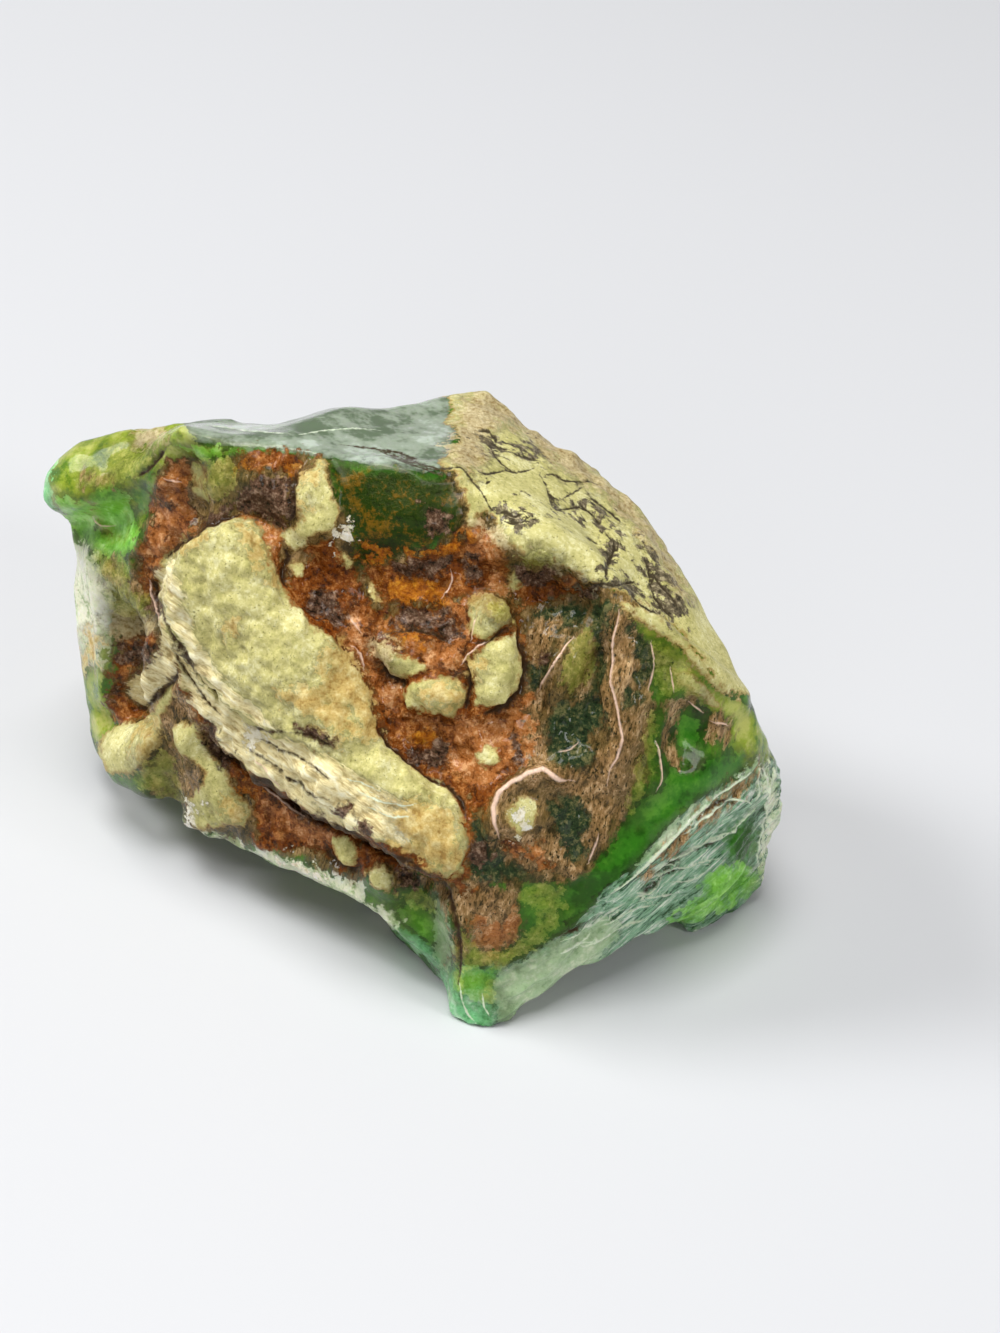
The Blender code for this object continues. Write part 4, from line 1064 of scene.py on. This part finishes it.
@dataclass
class SurfaceMap:
    """Says, for each point of the skin, how far inside each finish it is, though no further than far.

    A sight line starts off the skin by clear. A hidden point within copied_within of a seen one copies it,
    and one past scattered_beyond has only its own pattern. A line thins out over line_taper of its length at
    each end, which line_blunt keeps from coming to nothing, and line_spread of its width is the spread of
    the bell that it has in section.
    """

    viewpoint: Viewpoint
    points: np.ndarray
    normals: np.ndarray
    tree: BVHTree
    clear: float = 0.05
    copied_within: float = 1.2
    scattered_beyond: float = 4.5
    far: float = 4.0
    downward_from: float = 0.2
    downward_full: float = 0.7
    line_taper: float = 0.2
    line_blunt: float = 0.02
    line_spread: float = 0.6
    places: np.ndarray = field(init=False)
    pixel: float = field(init=False)
    seen: np.ndarray = field(init=False)
    nearest: np.ndarray = field(init=False)
    hidden_share: np.ndarray = field(init=False)

    def __post_init__(self) -> None:
        """Works out what the camera sees, and which seen point is nearest to each other point."""
        self.places = self.viewpoint.pixels(self.points)
        self.pixel = self.viewpoint.pixel_size(self.points)
        self.seen = self._find_seen()
        self._link_hidden()

    def _find_seen(self) -> np.ndarray:
        """Tells which points face the camera with nothing in the way.

        Returns:
            True for each point that is seen.
        """
        eye = Vector(self.viewpoint.position)
        towards = np.array(eye) - self.points
        facing = np.einsum("ij,ij->i", towards, self.normals) > 0.0
        seen = np.zeros(len(self.points), dtype=bool)
        for index in np.flatnonzero(facing):
            start = Vector(self.points[index] + self.clear * self.normals[index])
            seen[index] = self.tree.ray_cast(start, (eye - start).normalized())[0] is None
        return seen

    def _link_hidden(self) -> None:
        """Finds each point's nearest seen point, and how much its own hidden pattern counts."""
        seen_rows = np.flatnonzero(self.seen)
        store = kdtree.KDTree(len(seen_rows))
        for row in seen_rows:
            store.insert(Vector(self.points[row]), int(row))
        store.balance()
        self.nearest = np.arange(len(self.points))
        gap = np.zeros(len(self.points))
        for row in np.flatnonzero(~self.seen):
            _, self.nearest[row], gap[row] = store.find(Vector(self.points[row]))
        self.hidden_share = smooth_step(gap, self.copied_within, self.scattered_beyond)

    def _culled(self, path: np.ndarray) -> np.ndarray:
        """Finds the seen points whose picture position is near a path, to save measuring the rest.

        Args:
            path: The path's or outline's points, one row each.

        Returns:
            The rows of those points.
        """
        margin = self.far / self.pixel
        low, high = path.min(axis=0) - margin, path.max(axis=0) + margin
        return np.flatnonzero(self.seen & np.all((self.places > low) & (self.places < high), axis=1))

    def _spread(self, seen_values: np.ndarray, scatter: Scatter | None) -> np.ndarray:
        """Carries seen values round to the hidden sides.

        Args:
            seen_values: The layer, right for the seen points only.
            scatter: The finish's hidden pattern, or None where it has none.

        Returns:
            The layer for every point.
        """
        values = seen_values[self.nearest]
        hidden = np.full(len(values), -self.far)
        rows = np.flatnonzero(self.hidden_share > 0.0)
        if scatter is not None:
            pattern = fractal(self.points[rows], scatter.grain, scatter.drift) - scatter.level
            under = smooth_step(-self.normals[rows, 2], self.downward_from, self.downward_full)
            hidden[rows] = pattern * scatter.reach + scatter.underside * under
        return values + (hidden - values) * self.hidden_share

    def finish_layer(self, finish: Finish) -> np.ndarray:
        """Measures how far each point is inside one finish.

        Args:
            finish: The finish to measure.

        Returns:
            Millimetres inside the finish's edge for each point, below 0 outside.
        """
        layer = np.full(len(self.points), -self.far)
        for outline in PATCHES[finish].values():
            corners = np.array(outline, dtype=float)
            rows = self._culled(corners)
            closed = np.vstack([corners, corners[:1]])
            reach = path_distance(self.places[rows], closed)[0] * self.pixel
            inside = inside_outline(self.places[rows], corners)
            layer[rows] = np.maximum(layer[rows], np.where(inside, reach, -reach))
        scatter = next((scatter for scatter in SCATTERS if scatter.finish is finish), None)
        return self._spread(np.maximum(layer, -self.far), scatter)

    def mark_layers(self, mark: Mark) -> MarkLayers:
        """Measures where each point is across the nearest line of one kind.

        Args:
            mark: The kind of line.

        Returns:
            The layers that the material reads, and how far the lines raise the skin.
        """
        count = len(self.points)
        nearest = np.full(count, self.far)
        across, width, height = np.full(count, self.far), np.zeros(count), np.zeros(count)
        for line in LINES[mark]:
            path = np.array(line.path, dtype=float)
            rows = self._culled(path)
            away, along, side = path_distance(self.places[rows], path)
            reach = away * self.pixel
            taper = smooth_step(0.5 - np.abs(along - 0.5), -self.line_blunt, self.line_taper)
            closer = reach < nearest[rows]
            nearest[rows] = np.where(closer, reach, nearest[rows])
            across[rows] = np.where(closer, side * reach, across[rows])
            width[rows] = np.where(closer, mark.core * taper * line.width / 2, width[rows])
            height[rows] += line.height * taper * np.exp(-((reach / (self.line_spread * line.width)) ** 2))
        near = 1.0 - self.hidden_share
        return MarkLayers(
            gap=-self._spread(-nearest, None),
            across=across[self.nearest],
            width=width[self.nearest] * near,
            height=height[self.nearest] * near,
        )


@dataclass
class Stone:
    """The chrysoprase itself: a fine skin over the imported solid, and the material that dresses it."""

    viewpoint: Viewpoint
    merge_metres: float = 1e-6
    voxel: float = 0.2
    smoothing: float = 0.5
    smoothing_rounds: int = 8
    coat_edge: float = 0.25
    body_drift: float = 1.3
    coat_drift: float = 5.0
    triangles: int = 190_000

    def build(self) -> bpy.types.Object:
        """Makes the dressed stone.

        Returns:
            The finished piece.
        """
        piece = self._rounded_copy()
        self._carve(piece)
        self._thin_out(piece)
        piece.data.materials.clear()
        piece.data.materials.append(StoneMaterial().build())
        return piece

    def _rounded_copy(self) -> bpy.types.Object:
        """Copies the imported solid, and remeshes it finely with its facets smoothed away.

        Returns:
            The piece, with its modifiers applied.
        """
        piece = bpy.data.objects.new("chrysoprase_stone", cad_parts[NODE].data.copy())
        bpy.context.scene.collection.objects.link(piece)
        mesh = bmesh.new()
        mesh.from_mesh(piece.data)
        bmesh.ops.remove_doubles(mesh, verts=mesh.verts, dist=self.merge_metres)
        mesh.to_mesh(piece.data)
        mesh.free()
        rounding = piece.modifiers.new("rounding", "SUBSURF")
        rounding.levels = rounding.render_levels = 1
        remesh = piece.modifiers.new("fine skin", "REMESH")
        remesh.mode = "VOXEL"
        remesh.voxel_size = self.voxel * MM
        smooth = piece.modifiers.new("smoothing", "SMOOTH")
        smooth.factor = self.smoothing
        smooth.iterations = self.smoothing_rounds
        apply_modifiers(piece)
        return piece

    def _carve(self, piece: bpy.types.Object) -> None:
        """Gives the skin its relief and stores how far each vertex is inside each finish.

        Args:
            piece: The remeshed stone.
        """
        mesh = piece.data
        points = vertex_array(mesh, "co") / MM
        normals = vertex_array(mesh, "normal")
        tree = BVHTree.FromPolygons(
            [Vector(point) for point in points], [tuple(face.vertices) for face in mesh.polygons])
        chart = SurfaceMap(self.viewpoint, points, normals, tree)
        lift = BODY.swell * fractal(points, BODY.swell_grain, self.body_drift)
        for number, coat in enumerate(COATS):
            layer = chart.finish_layer(coat.finish)
            store_layer(mesh, coat.finish.value, layer)
            lift += self._coat_relief(coat, points, layer, self.coat_drift * number)
            LOG.info("%s covers %d of %d points", coat.finish.value, int((layer > 0).sum()), len(layer))
        for mark in Mark:
            layers = chart.mark_layers(mark)
            for part in MARK_PARTS if mark.core else ():
                store_layer(mesh, f"{mark.label} {part}", getattr(layers, part))
            lift += layers.height
        self._place(mesh, (points + lift[:, None] * normals) * MM)

    def _coat_relief(self, coat: Coat, points: np.ndarray, layer: np.ndarray, drift: float) -> np.ndarray:
        """Works out how far one finish raises the skin.

        Args:
            coat: The finish's coat.
            points: One row of millimetres for each point.
            layer: Millimetres inside the finish for each point.
            drift: Moves the pattern, so that two finishes differ.

        Returns:
            The lift of each point in millimetres.
        """
        share = smooth_step(layer, -self.coat_edge, self.coat_edge)
        rows = np.flatnonzero(share > 0.0)
        lift = np.zeros(len(points))
        places = points[rows] if coat.stretch is None else coat.stretch.squeeze(points[rows])
        lumps = fractal(places, coat.swell_grain, drift) if coat.swell else 0.0
        lift[rows] = share[rows] * (coat.lift + coat.swell * lumps)
        return lift

    def _thin_out(self, piece: bpy.types.Object) -> None:
        """Brings the skin down to its number of triangles and shades it smooth.

        Args:
            piece: The carved stone.
        """
        piece.data.calc_loop_triangles()
        thin = piece.modifiers.new("thinning", "DECIMATE")
        thin.ratio = min(1.0, self.triangles / len(piece.data.loop_triangles))
        apply_modifiers(piece)
        self._place(piece.data, vertex_array(piece.data, "co"))
        piece.data.shade_smooth()

    def _place(self, mesh: bpy.types.Mesh, places: np.ndarray) -> None:
        """Moves the vertices, but none out of the node's box.

        Args:
            mesh: The mesh to move.
            places: One row of metres for each vertex.
        """
        low, high = (np.array(corner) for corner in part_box(NODE))
        mesh.vertices.foreach_set("co", np.clip(places, low, high).astype(np.float32).ravel())
        mesh.update()


def apply_modifiers(piece: bpy.types.Object) -> None:
    """Turns a piece's modifiers into its mesh.

    Args:
        piece: The object to settle.
    """
    view = bpy.context.evaluated_depsgraph_get()
    settled = bpy.data.meshes.new_from_object(piece.evaluated_get(view))
    piece.modifiers.clear()
    piece.data = settled


def vertex_array(mesh: bpy.types.Mesh, what: str) -> np.ndarray:
    """Reads one three-number property of every vertex.

    Args:
        mesh: The mesh to read.
        what: The property's name.

    Returns:
        One row for each vertex.
    """
    values = np.empty(len(mesh.vertices) * 3, dtype=np.float32)
    mesh.vertices.foreach_get(what, values)
    return values.reshape(-1, 3).astype(float)


def store_layer(mesh: bpy.types.Mesh, name: str, layer: np.ndarray) -> None:
    """Keeps one number for each vertex as an attribute that the material reads.

    Args:
        mesh: The mesh that carries it.
        name: The attribute's name.
        layer: One number for each vertex.
    """
    attribute = mesh.attributes.new(name, "FLOAT", "POINT")
    attribute.data.foreach_set("value", layer.astype(np.float32))


class Speckle(NamedTuple):
    """How fractal noise is read: its lumps to the millimetre, its finer layers and how strong they are."""

    scale: float
    detail: float
    roughness: float


@dataclass
class Bench:
    """Lays shader nodes in one tree and joins them."""

    tree: bpy.types.NodeTree

    def put(
        self, kind: str, sockets: dict[str | int, object] | None = None, **settings: object
    ) -> bpy.types.Node:
        """Adds a node.

        Args:
            kind: Blender's name for the node type.
            sockets: What each input is joined to or set to.
            settings: The node's own properties.

        Returns:
            The node.
        """
        node = self.tree.nodes.new(kind)
        for name, value in settings.items():
            setattr(node, name, value)
        for name, value in (sockets or {}).items():
            self.join(value, node.inputs[name])
        return node

    def join(self, value: object, target: Socket) -> None:
        """Joins an input to a socket, or sets it to a value.

        Args:
            value: The socket that feeds the input, or what the input is set to.
            target: The input.
        """
        if isinstance(value, Socket):
            self.tree.links.new(value, target)
        elif isinstance(value, tuple) and target.type == "RGBA":
            target.default_value = (*value, 1.0)
        else:
            target.default_value = value

    def maths(self, operation: str, first: object, second: object = 0.0, third: object = 0.0) -> Socket:
        """Works out one step of arithmetic."""
        return self.put("ShaderNodeMath", {0: first, 1: second, 2: third}, operation=operation).outputs[0]

    def swing(self, value: object, reach: float, around: object = 0.0) -> Socket:
        """Turns noise from 0 to 1 into a swing of half the reach each way around a value."""
        return self.maths("MULTIPLY_ADD", self.maths("SUBTRACT", value, 0.5), reach, around)

    def rise(self, value: object, low: object, high: object) -> Socket:
        """Rises evenly from 0 to 1 between two values."""
        sockets = {"Value": value, "From Min": low, "From Max": high}
        return self.put("ShaderNodeMapRange", sockets, interpolation_type="SMOOTHSTEP").outputs["Result"]

    def mix(self, share: object, below: object, above: object) -> Socket:
        """Mixes two numbers."""
        return self.put("ShaderNodeMix", {0: share, 2: below, 3: above}, data_type="FLOAT").outputs[0]

    def mix_colour(self, share: object, below: object, above: object) -> Socket:
        """Mixes two colours."""
        return self.put("ShaderNodeMix", {0: share, 6: below, 7: above}, data_type="RGBA").outputs[2]

    def speckle(self, place: object, scale: object, detail: float, roughness: float) -> Socket:
        """Reads fractal noise, from 0 to 1."""
        sockets = {"Vector": place, "Scale": scale, "Detail": detail, "Roughness": roughness}
        return self.put("ShaderNodeTexNoise", sockets).outputs["Fac"]


GRAIN_OUTPUTS = dict.fromkeys(("Wander", "Grit", "Pits"), "Float")
COAT_OUTPUTS = {"Colour": "Color", "Roughness": "Float", "Height": "Float", "Wet": "Float"}
COAT_NUMBERS = ("Ragged", "Softness", "Grain", "Fine", "Rim Width", "Speck", "Roughness", "Tooth", "Wet")
COAT_COLOURS = ("Low", "Middle", "High", "Rim", "Speck Colour")
COAT_VALUES = dict.fromkeys(COAT_NUMBERS, "Float") | dict.fromkeys(COAT_COLOURS, "Color")
COAT_INPUTS = (
    {"Place": "Vector"} | GRAIN_OUTPUTS | {"Inside": "Float"} | COAT_VALUES
    | {f"{name} Below": kind for name, kind in COAT_OUTPUTS.items()})


def new_group(name: str, inputs: dict[str, str], outputs: dict[str, str]) -> bpy.types.ShaderNodeTree:
    """Makes an empty node group with named sockets.

    Args:
        name: The group's name.
        inputs: The kind of each input, by name.
        outputs: The kind of each output, by name.

    Returns:
        The group.
    """
    group = bpy.data.node_groups.new(name, "ShaderNodeTree")
    for way, sockets in (("INPUT", inputs), ("OUTPUT", outputs)):
        for label, kind in sockets.items():
            group.interface.new_socket(label, in_out=way, socket_type=f"NodeSocket{kind}")
    return group


@dataclass(frozen=True)
class MineralGroups:
    """Builds the node groups that every coat shares.

    The mottling, from 0 to 1, is the low tone up to low_until, the middle one at middle_at and the high one
    from high_from. Specks show where the pits pass speck_start, and sooner where a coat has more of them.
    """

    wander: Speckle = Speckle(scale=1.1, detail=6.0, roughness=0.68)
    grit: Speckle = Speckle(scale=3.4, detail=4.0, roughness=0.75)
    pits: Speckle = Speckle(scale=5.5, detail=3.0, roughness=0.7)
    mottle_detail: float = 4.0
    mottle_roughness: float = 0.65
    wander_reach: float = 4.0
    grain_reach: float = 2.0
    gloss_reach: float = 0.35
    low_until: float = 0.40
    middle_at: float = 0.50
    high_from: float = 0.61
    least_rim: float = 0.001
    rim_strength: float = 0.85
    speck_start: float = 0.72
    speck_edge: float = 0.05
    least_speck: float = 0.01

    def grain(self) -> bpy.types.ShaderNodeTree:
        """Builds the node group that reads the fine grain which every coat shares.

        Returns:
            The group.
        """
        group = new_group("mineral grain", {"Place": "Vector"}, GRAIN_OUTPUTS)
        bench = Bench(group)
        place = bench.put("NodeGroupInput").outputs["Place"]
        bench.put("NodeGroupOutput", {
            "Wander": bench.swing(bench.speckle(place, *self.wander), self.wander_reach),
            "Grit": bench.speckle(place, *self.grit),
            "Pits": bench.speckle(place, *self.pits),
        })
        return group

    def coat(self) -> bpy.types.ShaderNodeTree:
        """Builds the node group that lays one mottled, ragged-edged coat over what is below it.

        Returns:
            The group.
        """
        group = new_group("mineral coat", COAT_INPUTS, COAT_OUTPUTS)
        bench = Bench(group)
        given = bench.put("NodeGroupInput").outputs
        grit, pits = given["Grit"], given["Pits"]
        reach = bench.maths("MULTIPLY_ADD", given["Wander"], given["Ragged"], given["Inside"])
        share = bench.rise(reach, bench.maths("MULTIPLY", given["Softness"], -1.0), given["Softness"])
        scale = bench.maths("DIVIDE", 1.0, given["Grain"])
        mottle = bench.speckle(given["Place"], scale, self.mottle_detail, self.mottle_roughness)
        colour = self._toned(bench, given, bench.mix(given["Fine"], mottle, grit))
        colour = self._rimmed(bench, given, reach, colour)
        start = bench.maths("SUBTRACT", self.speck_start, given["Speck"])
        specks = bench.rise(pits, start, bench.maths("ADD", start, self.speck_edge))
        specks = bench.maths("MULTIPLY", specks, bench.rise(given["Speck"], 0.0, self.least_speck))
        colour = bench.mix_colour(specks, colour, given["Speck Colour"])
        grain = bench.swing(grit, self.grain_reach, bench.swing(mottle, self.grain_reach))
        height = bench.maths("MULTIPLY", grain, given["Tooth"])
        gloss = bench.swing(pits, self.gloss_reach, given["Roughness"])
        bench.put("NodeGroupOutput", {
            "Colour": bench.mix_colour(share, given["Colour Below"], colour),
            "Roughness": bench.mix(share, given["Roughness Below"], gloss),
            "Height": bench.mix(share, given["Height Below"], height),
            "Wet": bench.mix(share, given["Wet Below"], given["Wet"]),
        })
        return group

    def _toned(self, bench: Bench, given: bpy.types.NodeOutputs, tone: Socket) -> Socket:
        """Colours the mottling from the coat's low tone to its high one.

        Args:
            bench: Where the nodes go.
            given: The coat group's inputs.
            tone: The mottling, from 0 to 1.

        Returns:
            The coat's colour.
        """
        middle = bench.rise(tone, self.low_until, self.middle_at)
        high = bench.rise(tone, self.middle_at, self.high_from)
        return bench.mix_colour(high, bench.mix_colour(middle, given["Low"], given["Middle"]), given["High"])

    def _rimmed(self, bench: Bench, given: bpy.types.NodeOutputs, reach: Socket, colour: Socket) -> Socket:
        """Stains a coat just inside its edge.

        Args:
            bench: Where the nodes go.
            given: The coat group's inputs.
            reach: Millimetres inside the coat's ragged edge.
            colour: The coat's colour.

        Returns:
            The colour with its stained rim.
        """
        past_rim = bench.rise(reach, 0.0, bench.maths("ADD", given["Rim Width"], self.least_rim))
        share = bench.maths("MULTIPLY", bench.maths("SUBTRACT", 1.0, past_rim), self.rim_strength)
        return bench.mix_colour(share, colour, given["Rim"])


@dataclass
class StoneMaterial:
    """The stone's one material: the green body under its coats of rust and rind, with veins and ribs on top.

    The body is laid as a coat that every point is far inside. A line shows no further than line_fringe
    beyond its width.
    """

    name: str = "chrysoprase"
    refraction: float = 1.54
    specular: float = 0.18
    specular_tint: Colour = (1.0, 0.95, 0.45)
    film_roughness: float = 0.06
    subsurface: float = 0.35
    subsurface_depth: float = 0.9
    subsurface_tint: Colour = (0.5, 1.0, 0.35)
    crust_edge: float = 0.3
    everywhere: float = 10.0
    line_edge: Speckle = Speckle(scale=2.6, detail=5.0, roughness=0.7)
    line_fringe: float = 0.15

    def build(self) -> bpy.types.Material:
        """Lays every coat in order and feeds the shader.

        Returns:
            The material.
        """
        material = bpy.data.materials.new(self.name)
        material.use_nodes = True
        material.node_tree.nodes.clear()
        bench = Bench(material.node_tree)
        groups = MineralGroups()
        coats, grains = groups.coat(), groups.grain()
        object_place = bench.put("ShaderNodeTexCoord").outputs["Object"]
        in_mm = bench.put("ShaderNodeVectorMath", {0: object_place, "Scale": 1.0 / MM}, operation="SCALE")
        place = in_mm.outputs[0]
        grounds: dict[Stretch | None, dict[str, Socket]] = {}
        for stretch in dict.fromkeys(coat.stretch for coat in (BODY, *COATS)):
            ground = self._stretched(bench, place, stretch)
            grain = bench.put("ShaderNodeGroup", node_tree=grains)
            bench.join(ground, grain.inputs["Place"])
            grounds[stretch] = {"Place": ground} | {name: grain.outputs[name] for name in GRAIN_OUTPUTS}
        layers = self._coat(bench, coats, BODY, grounds[None], None)
        for coat in COATS:
            layers = self._coat(bench, coats, coat, grounds[coat.stretch], layers)
        colour, roughness, height = layers["Colour"], layers["Roughness"], layers["Height"]
        ragged_noise = bench.maths("SUBTRACT", bench.speckle(place, *self.line_edge), 0.5)
        for inlay in INLAYS:
            share = self._inlay_share(bench, inlay, ragged_noise)
            colour = bench.mix_colour(share, colour, inlay.colour)
            roughness = bench.mix(share, roughness, inlay.roughness)
        bump = bench.put("ShaderNodeBump", {"Strength": 1.0, "Distance": MM, "Height": height})
        shader = bench.put("ShaderNodeBsdfPrincipled", {
            "Base Color": colour,
            "Roughness": roughness,
            "IOR": self.refraction,
            "Specular IOR Level": self.specular,
            "Specular Tint": self.specular_tint,
            "Normal": bump.outputs["Normal"],
            "Coat Weight": layers["Wet"],
            "Coat Roughness": self.film_roughness,
            "Subsurface Radius": self.subsurface_tint,
            "Subsurface Scale": self.subsurface_depth * MM,
            "Subsurface Weight": self._clear_stone(bench),
        })
        bench.put("ShaderNodeOutputMaterial", {"Surface": shader.outputs[0]})
        return material

    def _coat(
        self, bench: Bench, group: bpy.types.ShaderNodeTree, coat: Coat, ground: dict[str, Socket],
        below: bpy.types.NodeOutputs | None,
    ) -> bpy.types.NodeOutputs:
        """Lays one coat.

        Args:
            bench: Where the nodes go.
            group: The coat group.
            coat: The coat's values.
            ground: The pattern's coordinates in millimetres, and the fine grain read there.
            below: The outputs of the coat under it, or None for the body itself.

        Returns:
            The outputs of the new coat.
        """
        values = {name: getattr(coat, name.lower().replace(" ", "_")) for name in COAT_VALUES}
        sockets = ground | values | {"Inside": self.everywhere}
        if below is not None:
            sockets["Inside"] = read_layer(bench, coat.finish.value)
            sockets |= {f"{name} Below": below[name] for name in COAT_OUTPUTS}
        node = bench.put("ShaderNodeGroup", node_tree=group, label=coat.finish.value)
        for name, value in sockets.items():
            bench.join(value, node.inputs[name])
        return node.outputs

    def _stretched(self, bench: Bench, place: Socket, stretch: Stretch | None) -> Socket:
        """Draws a pattern out along a grain, where the coat has one.

        Args:
            bench: Where the nodes go.
            place: The pattern's coordinates in millimetres.
            stretch: The grain, or None for a pattern that is even all ways.

        Returns:
            The drawn-out coordinates.
        """
        if stretch is None:
            return place
        turn = tuple(stretch.frame().to_euler())
        sockets = {"Vector": place, "Rotation": turn, "Scale": (stretch.times, 1.0, 1.0)}
        return bench.put("ShaderNodeMapping", sockets, vector_type="TEXTURE").outputs[0]

    def _inlay_share(self, bench: Bench, inlay: Inlay, ragged_noise: Socket) -> Socket:
        """Works out where one kind of line shows, with its broken edge.

        Args:
            bench: Where the nodes go.
            inlay: How that kind of line is coloured.
            ragged_noise: Noise from -0.5 to 0.5 that breaks the edge.

        Returns:
            The line's share of the colour, from 0 to 1.
        """
        gap, across, width = (read_layer(bench, f"{inlay.mark.label} {part}") for part in MARK_PARTS)
        inside = bench.maths("SUBTRACT", width, bench.maths("ABSOLUTE", across))
        beside = bench.maths("SUBTRACT", bench.maths("ADD", width, self.line_fringe), gap)
        reach = bench.maths("MULTIPLY_ADD", ragged_noise, 2.0 * inlay.ragged, inside)
        return bench.rise(bench.maths("MINIMUM", reach, beside), -inlay.softness, inlay.softness)

    def _clear_stone(self, bench: Bench) -> Socket:
        """Lets light into the clear green stone, and not into its crusts.

        Args:
            bench: Where the nodes go.

        Returns:
            The weight of the light that goes in.
        """
        crusts = [read_layer(bench, finish.value) for finish in OPAQUE]
        deepest = crusts[0]
        for crust in crusts[1:]:
            deepest = bench.maths("MAXIMUM", deepest, crust)
        clear = bench.rise(deepest, self.crust_edge, -self.crust_edge)
        return bench.maths("MULTIPLY", clear, self.subsurface)


def read_layer(bench: Bench, name: str) -> Socket:
    """Reads one of the skin's attributes."""
    return bench.put("ShaderNodeAttribute", attribute_name=name).outputs["Fac"]


@dataclass(frozen=True)
class SoftBox:
    """A soft studio light. Its place, aim and size are metres, and its power is watts."""

    name: str
    place: tuple[float, float, float]
    aim: tuple[float, float, float]
    size: tuple[float, float]
    power: float

    def build(self) -> bpy.types.Object:
        """Hangs the light.

        Returns:
            The light object.
        """
        light = bpy.data.lights.new(self.name, "AREA")
        light.shape = "RECTANGLE"
        light.size, light.size_y = self.size
        light.energy = self.power
        lamp = bpy.data.objects.new(self.name, light)
        lamp.location = self.place
        lamp.rotation_euler = (Vector(self.aim) - Vector(self.place)).to_track_quat("-Z", "Y").to_euler()
        bpy.context.scene.collection.objects.link(lamp)
        return lamp


@dataclass(frozen=True)
class Studio:
    """The plain pale floor and the light round it."""

    floor_half: float = 2.0
    floor_segments: int = 4
    floor_colour: Colour = (0.60, 0.605, 0.62)
    floor_roughness: float = 0.45
    sky_colour: Colour = (0.95, 0.97, 1.0)
    sky_strength: float = 0.12
    lights: tuple[SoftBox, ...] = (
        SoftBox("overhead", (-0.05, -0.05, 0.65), (0.0, 0.0, 0.0), (0.30, 0.30), 3.6),
        SoftBox("left window", (-0.50, 0.10, 0.45), (0.0, 0.0, 0.01), (0.20, 0.20), 3.0),
        SoftBox("right fill", (0.50, -0.30, 0.35), (0.0, 0.0, 0.01), (0.14, 0.14), 1.1),
        SoftBox("front fill", (-0.12, -0.60, 0.28), (0.0, 0.0, 0.01), (0.30, 0.30), 0.6),
    )

    def build(self) -> bpy.types.Object:
        """Lays the floor, hangs the lights and lights the sky.

        Returns:
            The floor.
        """
        for light in self.lights:
            light.build()
        world = bpy.data.worlds.new("studio")
        world.use_nodes = True
        sky = world.node_tree.nodes["Background"]
        sky.inputs["Color"].default_value = (*self.sky_colour, 1.0)
        sky.inputs["Strength"].default_value = self.sky_strength
        bpy.context.scene.world = world
        bpy.context.scene.view_settings.view_transform = "Standard"
        return self._floor()

    def _floor(self) -> bpy.types.Object:
        """Makes the floor, a satin sheet at the height that the stone stands on.

        Returns:
            The floor.
        """
        data = bpy.data.meshes.new("floor")
        mesh = bmesh.new()
        bmesh.ops.create_grid(
            mesh, x_segments=self.floor_segments, y_segments=self.floor_segments, size=self.floor_half)
        mesh.to_mesh(data)
        mesh.free()
        material = bpy.data.materials.new("pale floor")
        material.use_nodes = True
        shader = material.node_tree.nodes["Principled BSDF"]
        shader.inputs["Base Color"].default_value = (*self.floor_colour, 1.0)
        shader.inputs["Roughness"].default_value = self.floor_roughness
        data.materials.append(material)
        floor = bpy.data.objects.new("floor", data)
        bpy.context.scene.collection.objects.link(floor)
        return floor


def main() -> None:
    """Builds the studio and the stone, and says what was made."""
    logging.basicConfig(level=logging.INFO, format="%(name)s: %(message)s")
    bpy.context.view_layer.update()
    viewpoint = Viewpoint()
    viewpoint.build()
    Studio().build()
    stone = Stone(viewpoint).build()
    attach(stone, "root")
    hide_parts(NODE)
    LOG.info("%s has %d faces", stone.name, len(stone.data.polygons))


if __name__ == "__main__":
    main()
